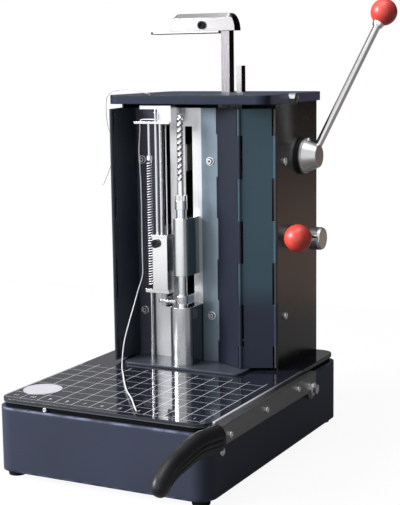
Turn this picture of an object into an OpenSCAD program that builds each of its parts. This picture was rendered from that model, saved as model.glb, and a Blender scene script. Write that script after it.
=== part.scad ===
// Book binding machine: a drill and a thread needle on a sliding carriage in a column,
// standing on the table of a lever paper trimmer.
// Origin in the middle of the base plate's underside, X to the right, Y to the back, Z up.

/* [Base] */
// Width of the base box
base_w = 300; // [280:1:320]
// Depth of the base box
base_d = 415; // [400:1:440]
// Height of the base box above its feet
base_h = 82; // [76:1:104]
// Corner radius of the base seen from above
base_r = 23; // [12:1:30]
// Sheet thickness of the base box
base_t = 3; // [2:0.5:4]
// Height of a rubber foot
foot_h = 8; // [5:1:14]
// Radius of a rubber foot
foot_r = 12; // [9:1:15]
// Distance of a foot from the sides of the base
foot_inset = 19; // [16:1:30]
// Thickness of the table plate
table_t = 5; // [4:0.5:7]
// Distance from the base side to the table plate edge
table_inset = 3; // [1:0.5:5]
// Height of the recessed band under the table plate
recess_h = 6; // [5:0.5:8]
// How far the band lies behind the edge of the table plate
recess_in = 2.5; // [1:0.5:4]
// Radius of the round badge plate
badge_r = 25; // [15:1:30]
// Thickness of the badge plate
badge_t = 0.6; // [0.4:0.1:1.2]
// Width of the power inlet at the back
inlet_w = 28; // [24:1:34]

/* [Trimmer] */
// Width of the fixed blade on the table edge
fixed_blade_w = 3.5; // [2.5:0.5:5]
// Thickness of the swinging blade
blade_t = 2; // [1.5:0.1:3]
// Thickness of the cutter arm bar
arm_t = 8.5; // [6:0.5:10]
// Height of the cutter arm bar
arm_h = 24; // [20:1:28]
// Length of the arm bar in front of its pivot
arm_front = 282; // [270:1:290]
// Radius of the pivot bolt
pivot_r = 5; // [4:0.5:6]
// Distance of the pivot behind the middle of the base
pivot_y = 82; // [70:1:95]
// Length of the handle grip
grip_len = 140; // [110:1:150]
// Width of the handle grip
grip_w = 26; // [20:1:30]
// Height of the handle grip
grip_h = 34; // [26:1:40]

/* [Column] */
// Outside width of the column over its side walls
col_w = 235; // [232:1:245]
// Depth of a side wall
col_d = 135; // [130:1:138]
// Height of the column from the table to the top plate
col_h = 357; // [350:1:370]
// Sheet thickness of the side walls and the back cover
wall_t = 2; // [1.5:0.5:3]
// Distance of the column back from the back of the base
col_back = 4; // [2:1:8]
// Thickness of the top plate
top_t = 12; // [8:1:16]
// Width of the top plate
top_w = 242; // [238:1:260]
// Depth of the top plate
top_d = 192; // [180:1:200]
// Corner radius of the top plate
top_r = 17; // [8:1:25]
// How far the top plate reaches behind the column
top_over = 18; // [10:1:24]
// Width of the working slot in the top plate
slot_w = 12.4; // [12:0.2:14]
// Radius of the side knob on the top plate
knob_r = 7; // [5:0.5:8]

/* [Carriage] */
// Distance between the two hinge lines of the carriage
carriage_w = 125; // [122:0.5:128]
// Gap between the left wall hinge and the carriage at rest
left_span = 21; // [20:0.5:24]
// Thickness of the stainless back plate
plate_t = 2; // [1.5:0.5:3]
// Thickness of the floor plate
floor_t = 3; // [2:0.5:4]
// How far the floor plate reaches in front of the flanges
floor_front = 51; // [50:1:60]
// How far the floor plate reaches to the right of the carriage
floor_side = 54; // [40:1:56]
// Radius of the slide rails
rail_r = 6; // [5:0.5:8]
// Distance of the rails from the top and the bottom of the column
rail_inset = 28; // [24:1:30]

/* [Accordion covers] */
// Width of one cover leaf between its hinge lines
leaf_w = 47.4; // [46:0.1:49]
// Sheet thickness of a leaf
leaf_t = 1.5; // [1:0.1:2]
// Radius of a hinge barrel
barrel_r = 2.5; // [2:0.1:3]
// Radius of a hinge pin
hinge_pin_r = 1.2; // [0.8:0.1:1.4]

/* [Drill] */
// Distance of the drill from the left hinge line
drill_from_left = 83.8; // [82:0.1:86]
// Distance of the drill in front of the back plate
drill_out = 29.7; // [29:0.1:30.5]
// Radius of the round front of the motor housing
motor_r = 16.5; // [15.5:0.1:17]
// Height of the motor housing
motor_h = 80.2; // [76:0.1:82]
// Outer radius of the motor rotor
rotor_r = 12.5; // [11:0.5:13]
// Radius of the spindle
spindle_r = 6.2; // [5.5:0.1:7]
// Length of spindle seen between its guide and the quill
neck_h = 27; // [25:0.5:30]
// Radius of the round front of the quill
quill_r = 11.3; // [10.8:0.1:12]
// Length of the quill
quill_h = 78; // [76:0.5:82]
// Radius of the chuck body
chuck_r = 7; // [6.2:0.1:7.6]
// Radius of the chuck ring
ring_r = 8.5; // [8:0.1:10]
// Radius of the drill bit
bit_r = 4.5; // [4:0.1:5]
// Length of the drill bit above the chuck
bit_out = 108; // [100:1:112]
// Height that one flute climbs in a full turn
flute_lead = 16; // [12:1:32]

/* [Needle unit] */
// Distance of the needle block from the left hinge line
needle_from_left = 48; // [46:0.5:50]
// Width of the needle block
block_w = 22.5; // [20:0.5:24]
// Height of the needle block
block_h = 76; // [70:1:82]
// Height of the needle block above the floor plate
block_lift = 100.9; // [96:0.1:104]
// Radius of the needles
needle_r = 1.8; // [1.4:0.1:2.2]
// Distance between the two needles
needle_gap = 7; // [6:0.5:9]
// Radius of the guide rod
rod_r = 2; // [1.8:0.1:2.2]
// Wire diameter of the return spring
wire_d = 1.6; // [1.2:0.1:1.7]
// Number of coils of the return spring
coils = 48; // [40:1:54]
// Radius of the spring at the middle of its wire
coil_r = 3.2; // [3.1:0.1:3.6]

/* [Levers] */
// Height of the feed shaft under the top plate
feed_drop = 74; // [72:1:76]
// Height of the needle shaft under the top plate
needle_drop = 187; // [185:1:190]
// Size across flats of the feed shaft
feed_hex = 12; // [10:0.5:12.5]
// Size across flats of the needle shaft
needle_hex = 10; // [8:0.5:11]
// Number of teeth of the pinions
teeth = 25; // [24:1:25]
// Gear module of the pinions and the racks
gear_m = 2; // [1.9:0.05:2.05]
// Radius of the ball knobs
ball_r = 18.5; // [15:0.5:20]
// Radius of the lever rods
lever_r = 5.2; // [4.5:0.1:5.5]
// Large radius of the feed hub
hub_r = 24; // [20:0.5:26]
// Length of the feed lever from its shaft to the ball
feed_len = 226.7; // [190:0.1:240]
// Length of the needle lever from its shaft to the ball
needle_len = 73.7; // [62:0.1:80]

/* [Press] */
// Width of the press post
post_w = 13; // [11:0.1:14]
// Depth of the press post
post_d = 15; // [12:0.5:15.5]
// Height of the press plate above the top plate
press_lift = 83; // [75:1:95]
// Length of the press arm
press_len = 103.5; // [90:0.5:105]
// Height of the press arm
press_h = 25; // [20:1:28]

/* [Threads] */
// Thickness of the binding thread
thread_d = 1.6; // [1:0.1:2]

/* [Hidden] */
$fn = 48;

// Clearances
run_gap = 0.05;
slide_gap = 0.3;
eps = 0.01;

// Base heights and places
base_z = 0;
base_top = base_z + base_h;
table_z = base_top + recess_h + table_t;
base_front = -base_d / 2;
base_back = base_d / 2;
foot_x = base_w / 2 - foot_inset;
foot_y = base_d / 2 - foot_inset;
foot_screw_r = 2;
skin_in_w = base_w - 2 * base_t;
skin_in_d = base_d - 2 * base_t;
bottom_t = 2;
panel_h = 1;
panel_w = 2 * (foot_x - foot_r) - 10;
panel_d = 2 * (foot_y - foot_r) - 10;
table_w = base_w - table_inset - fixed_blade_w;
table_x = (fixed_blade_w * -1 + table_inset) / 2;
table_d = base_d - 2 * table_inset;
band_screw = [-76, recess_in - table_d / 2, base_top + recess_h / 2];
badge_x = -base_w / 2 + 33;
badge_y = base_front + 60;
inlet_x = -80;
inlet_h = 22;
inlet_z = base_z + base_h / 2;
inlet_depth = 24;

// Screw heads
head_r = 5;
head_h = 2.5;
screw_r = 2;
screw_len = 5;

// Trimmer
arm_x0 = base_w / 2 + 0.4 + blade_t;
arm_x1 = arm_x0 + arm_t;
arm_z0 = table_z - 27;
arm_z1 = arm_z0 + arm_h;
pivot_z = arm_z0 + 3;
ear_r = 14;
arm_tail = 13;
arm_screws = [[-252, -3], [-149, 0], [-49, 2]];
arm_screw_r = 4;
washer_r = 9;
washer_t = 2;
nut_r = 7;
nut_h = 5;
grip_y = pivot_y - arm_front;
grip_x = (arm_x0 + arm_x1) / 2 + 1;
grip_z = (arm_z0 + arm_z1) / 2;

// Column
wall_x = col_w / 2;
col_y1 = base_back - col_back;
hinge_y = col_y1 - col_d - 4.5;
hinge_x = wall_x - 1.5;
wall_y0 = hinge_y + barrel_r + 0.5;
top_under = table_z + col_h;
top_z = top_under + top_t;
top_y1 = col_y1 + top_over;
top_y0 = top_y1 - top_d;
wall_foot = 14;
rear_flange = 22;
cover_screw_x = wall_x - 14;
wall_screw_y = hinge_y + 26;
wall_screw_zs = [table_z + 71, table_z + 280];
cover_screw_zs = [table_z + 30, table_z + col_h / 2, table_z + col_h - 30];
knob_y = top_y0 + 70;
knob_z = top_under + top_t / 2;
knob_len = 10;
carriage_travel = 60;

// Carriage
left_line = -hinge_x + left_span;
right_line = left_line + carriage_w;
right_span = hinge_x - right_line;
flange_y = hinge_y + leaf_t / 2 + 0.45;
plate_y0 = flange_y + plate_t;
plate_y1 = plate_y0 + plate_t;
floor_z0 = table_z + slide_gap;
floor_z1 = floor_z0 + floor_t;
carriage_z1 = top_under - 6;
flange_w_left = 25;
flange_w_right = 23.7;
flange_screw_xs = [left_line + 9.2, right_line - 10.5];
flange_screw_zs = [table_z + 67.5, table_z + 279.5];
rail_y = plate_y1 + 25.8;
rail_zs = [table_z + rail_inset, top_under - rail_inset];
bearing_w = 20;
bearing_s = 24;
mech_y = hinge_y - 20.5;
needle_y = mech_y - 2.5;
thread_y = mech_y + 1.5;
drill_x = left_line + drill_from_left;
drill_y = plate_y0 - drill_out;
slot_y = drill_y + 0.4;
needle_x = left_line + needle_from_left;
rod_x = needle_x - 15.5;
block_x0 = needle_x - 7;
block_x1 = block_x0 + block_w;
feed_rack_x = drill_x - 1.4;
slot_gap = 3;
slot_near = 0.6;
arm_w = 7.4;
cover_x1 = needle_x - arm_w / 2 - slot_gap;
slot_x0 = left_line + 35;
slot_x1 = drill_x + carriage_travel + bit_r + 2.7;

// Accordion
leaf_z0 = floor_z1 + 0.8;
leaf_z1 = top_under - 6;
leaf_h = leaf_z1 - leaf_z0;
seg = 56.4;
first_seg = 29.7;
seg_gap = 0.4;
notch = barrel_r + 1.9;
right_turn = acos(right_span / (2 * leaf_w));
left_turn = acos(left_span / (2 * leaf_w));
tab_w = 3;

// Shafts, pinions and racks
shaft_y = hinge_y + 86;
feed_z = top_under - feed_drop;
needle_z = top_under - needle_drop;
pitch_r = gear_m * teeth / 2;
tooth_add = 0.8 * gear_m;
tooth_ded = gear_m;
rack_y = shaft_y + pitch_r;
rack_t = 5;
rack_y1 = rack_y + tooth_ded + rack_t;
pinion_w = 10;
pinion_hub_r = 11;
cheek_t = 4;
needle_stroke = 50;
feed_journal_r = feed_hex / sqrt(3) + 0.1;
needle_journal_r = needle_hex / sqrt(3) + 0.1;
feed_arm_z0 = needle_z + needle_journal_r + 2.1;
feed_arm_h = 13;
needle_arm_z1 = needle_z - pitch_r - tooth_add - 2.4 - needle_stroke;
needle_arm_h = 12;
slot_z0 = needle_arm_z1 - needle_arm_h - 5;
bush_flange_t = 3.3;
hub_x0 = wall_x + bush_flange_t + slide_gap;
hub_len = 22.5;
hub_nose_r = 15;
needle_hub_x0 = wall_x + 13.5;
needle_hub_len = 18.5;
needle_hub_r = 15.8;
feed_lean = 26.6;
feed_out = 16.9;
needle_rise = 7.8;

// Drill chain from the floor plate upwards
motor_top = floor_z1 + motor_h;
motor_lid = 3.7;
rotor_z0 = floor_z1 + 3 + slide_gap;
rotor_z1 = motor_top - motor_lid - slide_gap;
guide_z0 = motor_top + 3.5;
guide_h = 12;
guide_r = 9.6;
link_w = 6;
link_h = 4;
quill_z0 = guide_z0 + guide_h + neck_h;
quill_z1 = quill_z0 + quill_h;
quill_bore = 8.3;
quill_lip = 3;
chuck_z0 = quill_z1 + slide_gap;
chuck_h = 12;
ring_h = 19;
crown_h = 7;
nose_r = 3.5;
nose_h = 12;
bit_seat = 12;
bit_tip_z = chuck_z0 + chuck_h + ring_h + bit_out;
bit_point = 5;
flute_start = 16;

// Needle unit
flange_h = 5;
block_z0 = floor_z1 + block_lift;
block_z1 = block_z0 + block_h;
block_d = 17;
block_y0 = mech_y - 10.5;
flange_x0 = rod_x - 4.5;
rod_z1 = top_under - 26.5;
guide_t = 3;
guide_x0 = rod_x - 17.5;
guide_x1 = rod_x + 36.5;
guide_y0 = mech_y - 9.5;
needle_tip_z = top_under - 6;
collar_z0 = top_under - 76;
collar_h = 6;
collar_r = 4.6;
spring_len = collar_z0 - block_z0;
thread_hole_x = needle_x + 10;

// Press
post_x = -14.5;
post_y0 = rack_y1 + 2;
post_y1 = post_y0 + post_d;
post_z0 = top_under - 28;
press_z0 = top_z + press_lift;
press_t = 3.5;
press_x1 = post_x + post_w / 2 + 9.5;
press_y0 = post_y0 - 2;
press_d = post_d + 5;
upright_x0 = press_x1 + 1.3;
upright_w = 8;
upright_h = 37;

// Thread routes, chosen points in millimetres
inner_route = [
  [-37, 45, 262], [-37, 45, 292], [-37, 45, 332], [-37, 45, 372], [-37, 45, 407],
  [-37, 45, 423], [-38, 45, 428], [-43, 45, 429], [-55, 45, 429], [-68, 45, 429],
  [-75, 45, 428], [-77, 45, 423], [-77, 45, 412], [-79, 45, 387], [-78, 45, 362],
  [-77, 45, 332], [-77, 45, 292], [-77, 45, 242], [-77, 44, 214], [-79, 36, 196],
  [-81, 27, 176], [-83, 15, 152], [-83, 2, 130], [-82, -6, 110], [-80, -11, 98],
  [-76, -18, 94.6], [-60, -42, 94.1], [-36, -79, 94], [-13, -112, 94], [10, -140, 94],
  [28, -165, 94], [45, -188, 94]
];
outer_route = [
  [-56, 42, 450], [-56, 41, 458], [-58, 39, 463], [-63, 36, 465], [-74, 34, 468],
  [-88, 34, 470], [-103, 33, 469], [-113, 31, 466], [-119, 30, 460], [-121, 30, 452],
  [-122, 31, 442], [-122, 32, 432], [-121, 33, 420], [-117, 34, 406], [-116, 34, 388],
  [-117, 34, 370], [-121, 34, 360], [-127, 34, 347], [-131, 34, 340], [-135, 34, 339]
];

// Shared shapes

// Rectangle with round corners, centred on the origin
module round_rect(w, d, r) {
  square([w - 2 * r, d], center = true);
  square([w, d - 2 * r], center = true);
  for (sx = [-1, 1], sy = [-1, 1])
    translate([sx * (w / 2 - r), sy * (d / 2 - r)]) circle(r);
}

// Cylinder along X from x0 to x1 at (y, z)
module x_cyl(x0, x1, y, z, r) {
  translate([x0, y, z]) rotate([0, 90, 0]) cylinder(h = x1 - x0, r = r);
}

// Hexagonal bar along X, across flats af
module x_hex(x0, x1, y, z, af) {
  translate([x0, y, z]) rotate([0, 90, 0]) cylinder(h = x1 - x0, r = af / sqrt(3), $fn = 6);
}

// Box between two corners
module span(a, b) {
  translate(a) cube(b - a);
}

// Round screw: a domed head on the outside of a face at z = 0, its shank below
module screw(r = head_r, h = head_h, shank = screw_len) {
  difference() {
    cylinder(h = h, r = r);
    translate([0, 0, h / 2]) cylinder(h = h, r = r * 0.45, $fn = 6);
  }
  translate([0, 0, -shank]) cylinder(h = shank + eps, r = screw_r);
}

// Tube with rings along a list of points, closed at both ends
function unit(v) = v / norm(v);
function tangent(p, i) = unit(p[min(i + 1, len(p) - 1)] - p[max(i - 1, 0)]);
function side_of(t, up) = unit(cross(t, abs(t * up) > 0.95 ? [1, 0, 0] : up));
module tube(p, r, sides, up = [0, 0, 1]) {
  n = len(p);
  pts = [for (i = [0 : n - 1])
    let (t = tangent(p, i), a = side_of(t, up), b = cross(t, a))
      for (k = [0 : sides - 1]) p[i] + r * (cos(360 * k / sides) * a + sin(360 * k / sides) * b)];
  skin = [for (i = [0 : n - 2], k = [0 : sides - 1])
    let (q = (k + 1) % sides, u = i * sides, v = u + sides)
      each [[u + k, u + q, v + k], [u + q, v + q, v + k]]];
  caps = concat(
    [for (k = [1 : sides - 2]) [0, k + 1, k]],
    [for (k = [1 : sides - 2]) [(n - 1) * sides, (n - 1) * sides + k, (n - 1) * sides + k + 1]]);
  polyhedron(pts, [for (f = concat(skin, caps)) [f[0], f[2], f[1]]]);
}

// Points on a smooth curve through a route, steps per stretch
function knot(p, i) = p[max(0, min(len(p) - 1, i))];
function spline_at(p, i, t) =
  let (a = knot(p, i - 1), b = knot(p, i), c = knot(p, i + 1), d = knot(p, i + 2))
    0.5 * (2 * b + (c - a) * t + (2 * a - 5 * b + 4 * c - d) * t * t
      + (3 * b - a - 3 * c + d) * t * t * t);
function smooth(p, steps) = concat(
  [for (i = [0 : len(p) - 2], s = [0 : steps - 1]) spline_at(p, i, s / steps)], [p[len(p) - 1]]);

// Outline of a pinion with a gap on its +x side
function pinion_outline() = [for (i = [0 : teeth - 1], c = [0 : 3])
  let (step = 360 / teeth, a = step * (i + 0.5),
    tip = pitch_r + tooth_add, root = pitch_r - tooth_ded,
    half = [0.32, 0.13, -0.13, -0.32][c] * step, r = [root, tip, tip, root][c])
    [r * cos(a - half), r * sin(a - half)]];
module pinion(x, z, af) {
  difference() {
    translate([x - pinion_w / 2, shaft_y, z]) rotate([90, 0, 90])
      linear_extrude(pinion_w) polygon(pinion_outline());
    x_hex(x - pinion_w, x + pinion_w, shaft_y, z, af + 2 * slide_gap / 2);
  }
  for (side = [-1, 1])
    difference() {
      x0 = x + side * (pinion_w / 2 + cheek_t / 2 + slide_gap / 2);
      x_cyl(x0 - cheek_t / 2 - slide_gap / 2, x0 + cheek_t / 2 + slide_gap / 2, shaft_y, z, pinion_hub_r);
      x_hex(x - 2 * pinion_w, x + 2 * pinion_w, shaft_y, z, af + 2 * slide_gap / 2);
    }
}

// Outline of a rack in the Y-Z plane with a tooth at height zc, from z0 to z1
function rack_outline(zc, z0, z1) =
  let (step = PI * gear_m, lo = ceil((z0 - zc) / step + 0.4), hi = floor((z1 - zc) / step - 0.4))
    concat([[rack_y + tooth_ded, z0]],
      [for (i = [lo : hi], c = [0 : 3])
        let (dz = [-0.32, -0.13, 0.13, 0.32][c] * step,
          y = [rack_y + tooth_ded, rack_y - tooth_add, rack_y - tooth_add, rack_y + tooth_ded][c])
          [y, zc + i * step + dz]],
      [[rack_y + tooth_ded, z1], [rack_y1, z1], [rack_y1, z0]]);
module rack(x, zc, z0, z1) {
  translate([x - arm_w / 2, 0, 0]) rotate([90, 0, 90])
    linear_extrude(arm_w) polygon(rack_outline(zc, z0, z1));
}

// Base

module base_shell() {
  color([0.11, 0.12, 0.15]) difference() {
    translate([0, 0, base_z]) linear_extrude(base_h) round_rect(base_w, base_d, base_r);
    translate([0, 0, base_z - eps]) linear_extrude(base_h - base_t)
      round_rect(skin_in_w, skin_in_d, base_r - base_t);
    span([inlet_x - inlet_w / 2, base_back - 2 * base_t, inlet_z - inlet_h / 2],
      [inlet_x + inlet_w / 2, base_back + 1, inlet_z + inlet_h / 2]);
    x_cyl(base_w / 2 - 2 * base_t, base_w / 2 + 1, pivot_y, pivot_z, pivot_r);
    translate([base_w / 2, base_front + 36, base_z + 53]) rotate([0, 90, 0])
      cylinder(h = 2 * screw_len, r = screw_r, center = true);
  }
}

// Closing plate with a flat panel pressed down between the feet
module bottom_plate() {
  color([0.2, 0.2, 0.22]) difference() {
    union() {
      translate([0, 0, base_z]) linear_extrude(bottom_t)
        round_rect(skin_in_w - 2 * run_gap, skin_in_d - 2 * run_gap, base_r - base_t);
      translate([0, 0, base_z - panel_h]) linear_extrude(panel_h + eps)
        round_rect(panel_w, panel_d, base_r / 2);
    }
    for (sx = [-1, 1], sy = [-1, 1])
      translate([sx * foot_x, sy * foot_y, base_z - 1]) cylinder(h = bottom_t + 2, r = foot_screw_r);
  }
}

module rubber_feet() {
  color([0.07, 0.07, 0.07]) for (sx = [-1, 1], sy = [-1, 1])
    translate([sx * foot_x, sy * foot_y, -foot_h]) difference() {
      cylinder(h = foot_h, r1 = foot_r - 1, r2 = foot_r);
      translate([0, 0, foot_h - 3]) cylinder(h = 4, r = foot_screw_r);
      translate([0, 0, -1]) cylinder(h = foot_h - 2, r = foot_screw_r + 2.5);
    }
}

module body_screws() {
  color([0.75, 0.75, 0.77]) {
    for (sx = [-1, 1], sy = [-1, 1]) translate([sx * foot_x, sy * foot_y, -3]) {
      translate([0, 0, -2]) cylinder(h = 2, r = foot_screw_r + 2);
      translate([0, 0, -eps]) cylinder(h = 3 + bottom_t, r = foot_screw_r);
    }
    translate([base_w / 2, base_front + 36, base_z + 53]) rotate([0, 90, 0]) screw();
    translate(band_screw) rotate([90, 0, 0]) screw(r = recess_h / 2 - 0.2, h = 3);
    for (side = [-1, 1], z = wall_screw_zs)
      translate([side * wall_x, wall_screw_y, z]) rotate([0, side * 90, 0]) screw(shank = wall_t);
    for (side = [-1, 1], z = cover_screw_zs)
      translate([side * cover_screw_x, col_y1, z]) rotate([-90, 0, 0]) screw(shank = 2 * wall_t);
  }
}

module table_plate() {
  color([0.09, 0.09, 0.11]) difference() {
    union() {
      translate([table_x, 0, base_top + recess_h]) linear_extrude(table_t)
        round_rect(table_w, table_d, base_r - table_inset);
      translate([table_x, 0, base_top]) linear_extrude(recess_h + eps)
        round_rect(table_w - 2 * recess_in, table_d - 2 * recess_in, base_r - table_inset - recess_in);
    }
    translate(band_screw) rotate([90, 0, 0]) cylinder(h = 2 * screw_len, r = screw_r, center = true);
  }
}

module badge_disc() {
  color([0.85, 0.85, 0.87]) translate([badge_x, badge_y, table_z]) cylinder(h = badge_t, r = badge_r);
}

module power_inlet() {
  color([0.05, 0.05, 0.05]) difference() {
    union() {
      span([inlet_x - inlet_w / 2 - 4, base_back, inlet_z - inlet_h / 2 - 3],
        [inlet_x + inlet_w / 2 + 4, base_back + 2, inlet_z + inlet_h / 2 + 3]);
      span([inlet_x - inlet_w / 2, base_back - inlet_depth, inlet_z - inlet_h / 2],
        [inlet_x + inlet_w / 2, base_back + eps, inlet_z + inlet_h / 2]);
    }
    span([inlet_x - inlet_w / 2 + 3, base_back - 16, inlet_z - inlet_h / 2 + 3],
      [inlet_x + inlet_w / 2 - 3, base_back + 3, inlet_z + inlet_h / 2 - 3]);
  }
  color([0.8, 0.7, 0.4]) for (dx = [-7, 0, 7])
    span([inlet_x + dx - 1, base_back - 16 - eps, inlet_z - 3 + (dx == 0 ? 3 : 0)],
      [inlet_x + dx + 1, base_back - 3, inlet_z + 1 + (dx == 0 ? 3 : 0)]);
}

// Trimmer

module fixed_blade() {
  color([0.8, 0.8, 0.82])
    span([base_w / 2 - fixed_blade_w, grip_y + 12, base_top], [base_w / 2, pivot_y - 5, table_z]);
}

module cutter_arm() {
  color([0.2, 0.2, 0.22]) difference() {
    union() {
      span([arm_x0, grip_y, arm_z0], [arm_x1, pivot_y + arm_tail, arm_z1]);
      x_cyl(arm_x0, arm_x1, pivot_y, pivot_z, ear_r);
    }
    x_cyl(arm_x0 - 1, arm_x1 + 1, pivot_y, pivot_z, pivot_r + run_gap);
    for (at = arm_screws) x_cyl(arm_x0 - 1, arm_x1 + 1, pivot_y + at[0], grip_z + at[1], screw_r);
  }
}

module cutter_blade() {
  color([0.8, 0.8, 0.82]) difference() {
    span([arm_x0 - blade_t, grip_y + 8, arm_z0 - 4], [arm_x0, pivot_y - ear_r - 6, arm_z1 - 2]);
    for (at = arm_screws)
      x_cyl(arm_x0 - blade_t - 1, arm_x0 + 1, pivot_y + at[0], grip_z + at[1], screw_r);
  }
}

module cutter_screws() {
  color([0.75, 0.75, 0.77]) for (at = arm_screws)
    translate([arm_x1, pivot_y + at[0], grip_z + at[1]]) rotate([0, 90, 0])
      screw(r = arm_screw_r, shank = arm_t + blade_t);
}

// Curved grip: oval rings square to a centre line that dips towards the tip, in [Y, Z]
grip_line = [for (q = [[0, 0], [0.12, 1], [0.37, 4.5], [0.6, 1], [0.8, -4], [0.93, -13], [1, -25]])
  [0, grip_y - grip_len * q[0], grip_z + q[1]]];
grip_steps = 3;
function grip_size(s) = (s < 0.85 ? 1 : sqrt(max(0.06, 1 - pow((s - 0.85) / 0.15, 2)))) * (1 - 0.25 * s);
module cutter_handle() {
  path = smooth(grip_line, grip_steps);
  n = len(path) - 1;
  sides = 20;
  pts = [for (i = [0 : n]) let (t = i == 0 ? [0, -1, 0] : tangent(path, i), up = cross([1, 0, 0], t),
    size = grip_size(i / n))
    for (k = [0 : sides - 1]) let (a = 360 * k / sides)
      path[i] + [grip_x + size * grip_w / 2 * cos(a), 0, 0] - size * grip_h / 2 * sin(a) * up];
  skin = [for (i = [0 : n - 1], k = [0 : sides - 1])
    let (q = (k + 1) % sides, u = i * sides, v = u + sides)
      each [[u + k, u + q, v + k], [u + q, v + q, v + k]]];
  caps = concat(
    [for (k = [1 : sides - 2]) [0, k + 1, k]],
    [for (k = [1 : sides - 2]) [n * sides, n * sides + k, n * sides + k + 1]]);
  color([0.05, 0.05, 0.06]) polyhedron(pts, concat(skin, caps));
}

module pivot_bolt() {
  color([0.75, 0.75, 0.77]) {
    x_cyl(base_w / 2 - base_t - 8, arm_x1 + slide_gap + washer_t + nut_h, pivot_y, pivot_z, pivot_r);
    x_cyl(arm_x1 + slide_gap, arm_x1 + slide_gap + washer_t, pivot_y, pivot_z, washer_r);
    x_hex(arm_x1 + slide_gap + washer_t - eps, arm_x1 + slide_gap + washer_t + nut_h, pivot_y, pivot_z,
      nut_r * sqrt(3));
    x_hex(base_w / 2 - base_t - 8, base_w / 2 - base_t, pivot_y, pivot_z, nut_r * sqrt(3));
    x_cyl(base_w / 2, arm_x0 - slide_gap, pivot_y, pivot_z, washer_r);
  }
}

// Column

// One side wall for the side 1 (right) or -1 (left), with its hinge barrels and pin
module side_wall(side) {
  difference() {
    union() {
      span([min(side * wall_x, side * (wall_x - wall_t)), wall_y0, table_z],
        [max(side * wall_x, side * (wall_x - wall_t)), col_y1 - wall_t, top_under]);
      for (z = [table_z, top_under - wall_t])
        span([min(side * wall_x, side * (wall_x - wall_foot)), rail_y + 12, z],
          [max(side * wall_x, side * (wall_x - wall_foot)), col_y1 - wall_t, z + wall_t]);
      span([min(side * wall_x, side * (wall_x - rear_flange)), col_y1 - 2 * wall_t, table_z],
        [max(side * wall_x, side * (wall_x - rear_flange)), col_y1 - wall_t, top_under]);
      for (i = [0, 2, 4, 6]) let (z = seg_z(i)) {
        span([min(side * (hinge_x - 0.8), side * wall_x), hinge_y, z[0]],
          [max(side * (hinge_x - 0.8), side * wall_x), wall_y0 + 1, z[1]]);
        translate([side * hinge_x, hinge_y, z[0]]) cylinder(h = z[1] - z[0], r = barrel_r);
      }
      translate([side * hinge_x, hinge_y, leaf_z0]) cylinder(h = leaf_h, r = hinge_pin_r);
    }
    for (z = rail_zs) x_cyl(-wall_x + wall_t / 2, wall_x - wall_t / 2, rail_y, z, rail_r);
    x_cyl(-wall_x - 1, wall_x + 1, shaft_y, feed_z, feed_journal_r + 3);
    x_cyl(-wall_x - 1, wall_x + 1, shaft_y, needle_z, needle_journal_r + 3);
    for (z = wall_screw_zs) x_cyl(-wall_x - 1, wall_x + 1, wall_screw_y, z, screw_r);
    for (z = cover_screw_zs) translate([side * cover_screw_x, col_y1 - 3 * wall_t, z])
      rotate([-90, 0, 0]) cylinder(h = 3 * wall_t, r = screw_r);
  }
}

// Height span of hinge segment i: short segments at both ends, whole ones between
function seg_z(i) = [
  leaf_z0 + (i == 0 ? 0 : first_seg + (i - 1) * seg + seg_gap / 2),
  leaf_z0 + (i == 6 ? leaf_h : first_seg + i * seg - seg_gap / 2)];

module left_wall() {
  color([0.11, 0.12, 0.15]) side_wall(-1);
}

module right_wall() {
  color([0.11, 0.12, 0.15]) side_wall(1);
}

module back_cover() {
  color([0.11, 0.12, 0.15]) difference() {
    span([-wall_x, col_y1 - wall_t, table_z], [wall_x, col_y1, top_under]);
    for (side = [-1, 1], z = cover_screw_zs)
      translate([side * cover_screw_x, col_y1 - wall_t - 1, z]) rotate([-90, 0, 0])
        cylinder(h = wall_t + 2, r = screw_r);
  }
}

module top_plate() {
  color([0.16, 0.18, 0.22]) difference() {
    translate([0, (top_y0 + top_y1) / 2, top_under]) linear_extrude(top_t)
      round_rect(top_w, top_d, top_r);
    translate([(slot_x0 + slot_x1) / 2, slot_y, top_under - 1]) linear_extrude(top_t + 2)
      round_rect(slot_x1 - slot_x0, slot_w, slot_w / 2 - eps);
    span([post_x - post_w / 2 - slide_gap, post_y0 - slide_gap, top_under - 1],
      [post_x + post_w / 2 + slide_gap, post_y1 + slide_gap, top_z + 1]);
    span([upright_x0, post_y0, top_under - 1], [upright_x0 + upright_w, post_y0 + 13, top_z + 1]);
    x_cyl(top_w / 2 - 14, top_w / 2 + 1, knob_y, knob_z, 3 + run_gap);
  }
}

module top_knob() {
  color([0.8, 0.8, 0.82]) {
    x_cyl(top_w / 2 - 12, top_w / 2 + slide_gap + eps, knob_y, knob_z, 3);
    translate([top_w / 2 + slide_gap, knob_y, knob_z]) rotate([0, 90, 0])
      cylinder(h = knob_len, r = knob_r, $fn = 8);
  }
}

module slide_rails() {
  color([0.8, 0.8, 0.82]) for (z = rail_zs)
    x_cyl(-wall_x + wall_t / 2, wall_x - wall_t / 2, rail_y, z, rail_r);
}

// Flanged bushes for the ends of both shafts
module bush(side, z, bore, flange) {
  difference() {
    union() {
      x_cyl(min(side * wall_x, side * (wall_x - 6)), max(side * wall_x, side * (wall_x - 6)),
        shaft_y, z, bore + 3);
      x_cyl(min(side * wall_x, side * (wall_x + bush_flange_t)),
        max(side * wall_x, side * (wall_x + bush_flange_t)), shaft_y, z, flange);
    }
    x_cyl(min(side * (wall_x - 7), side * (wall_x + bush_flange_t + 1)),
      max(side * (wall_x - 7), side * (wall_x + bush_flange_t + 1)), shaft_y, z, bore + run_gap);
  }
}

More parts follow.
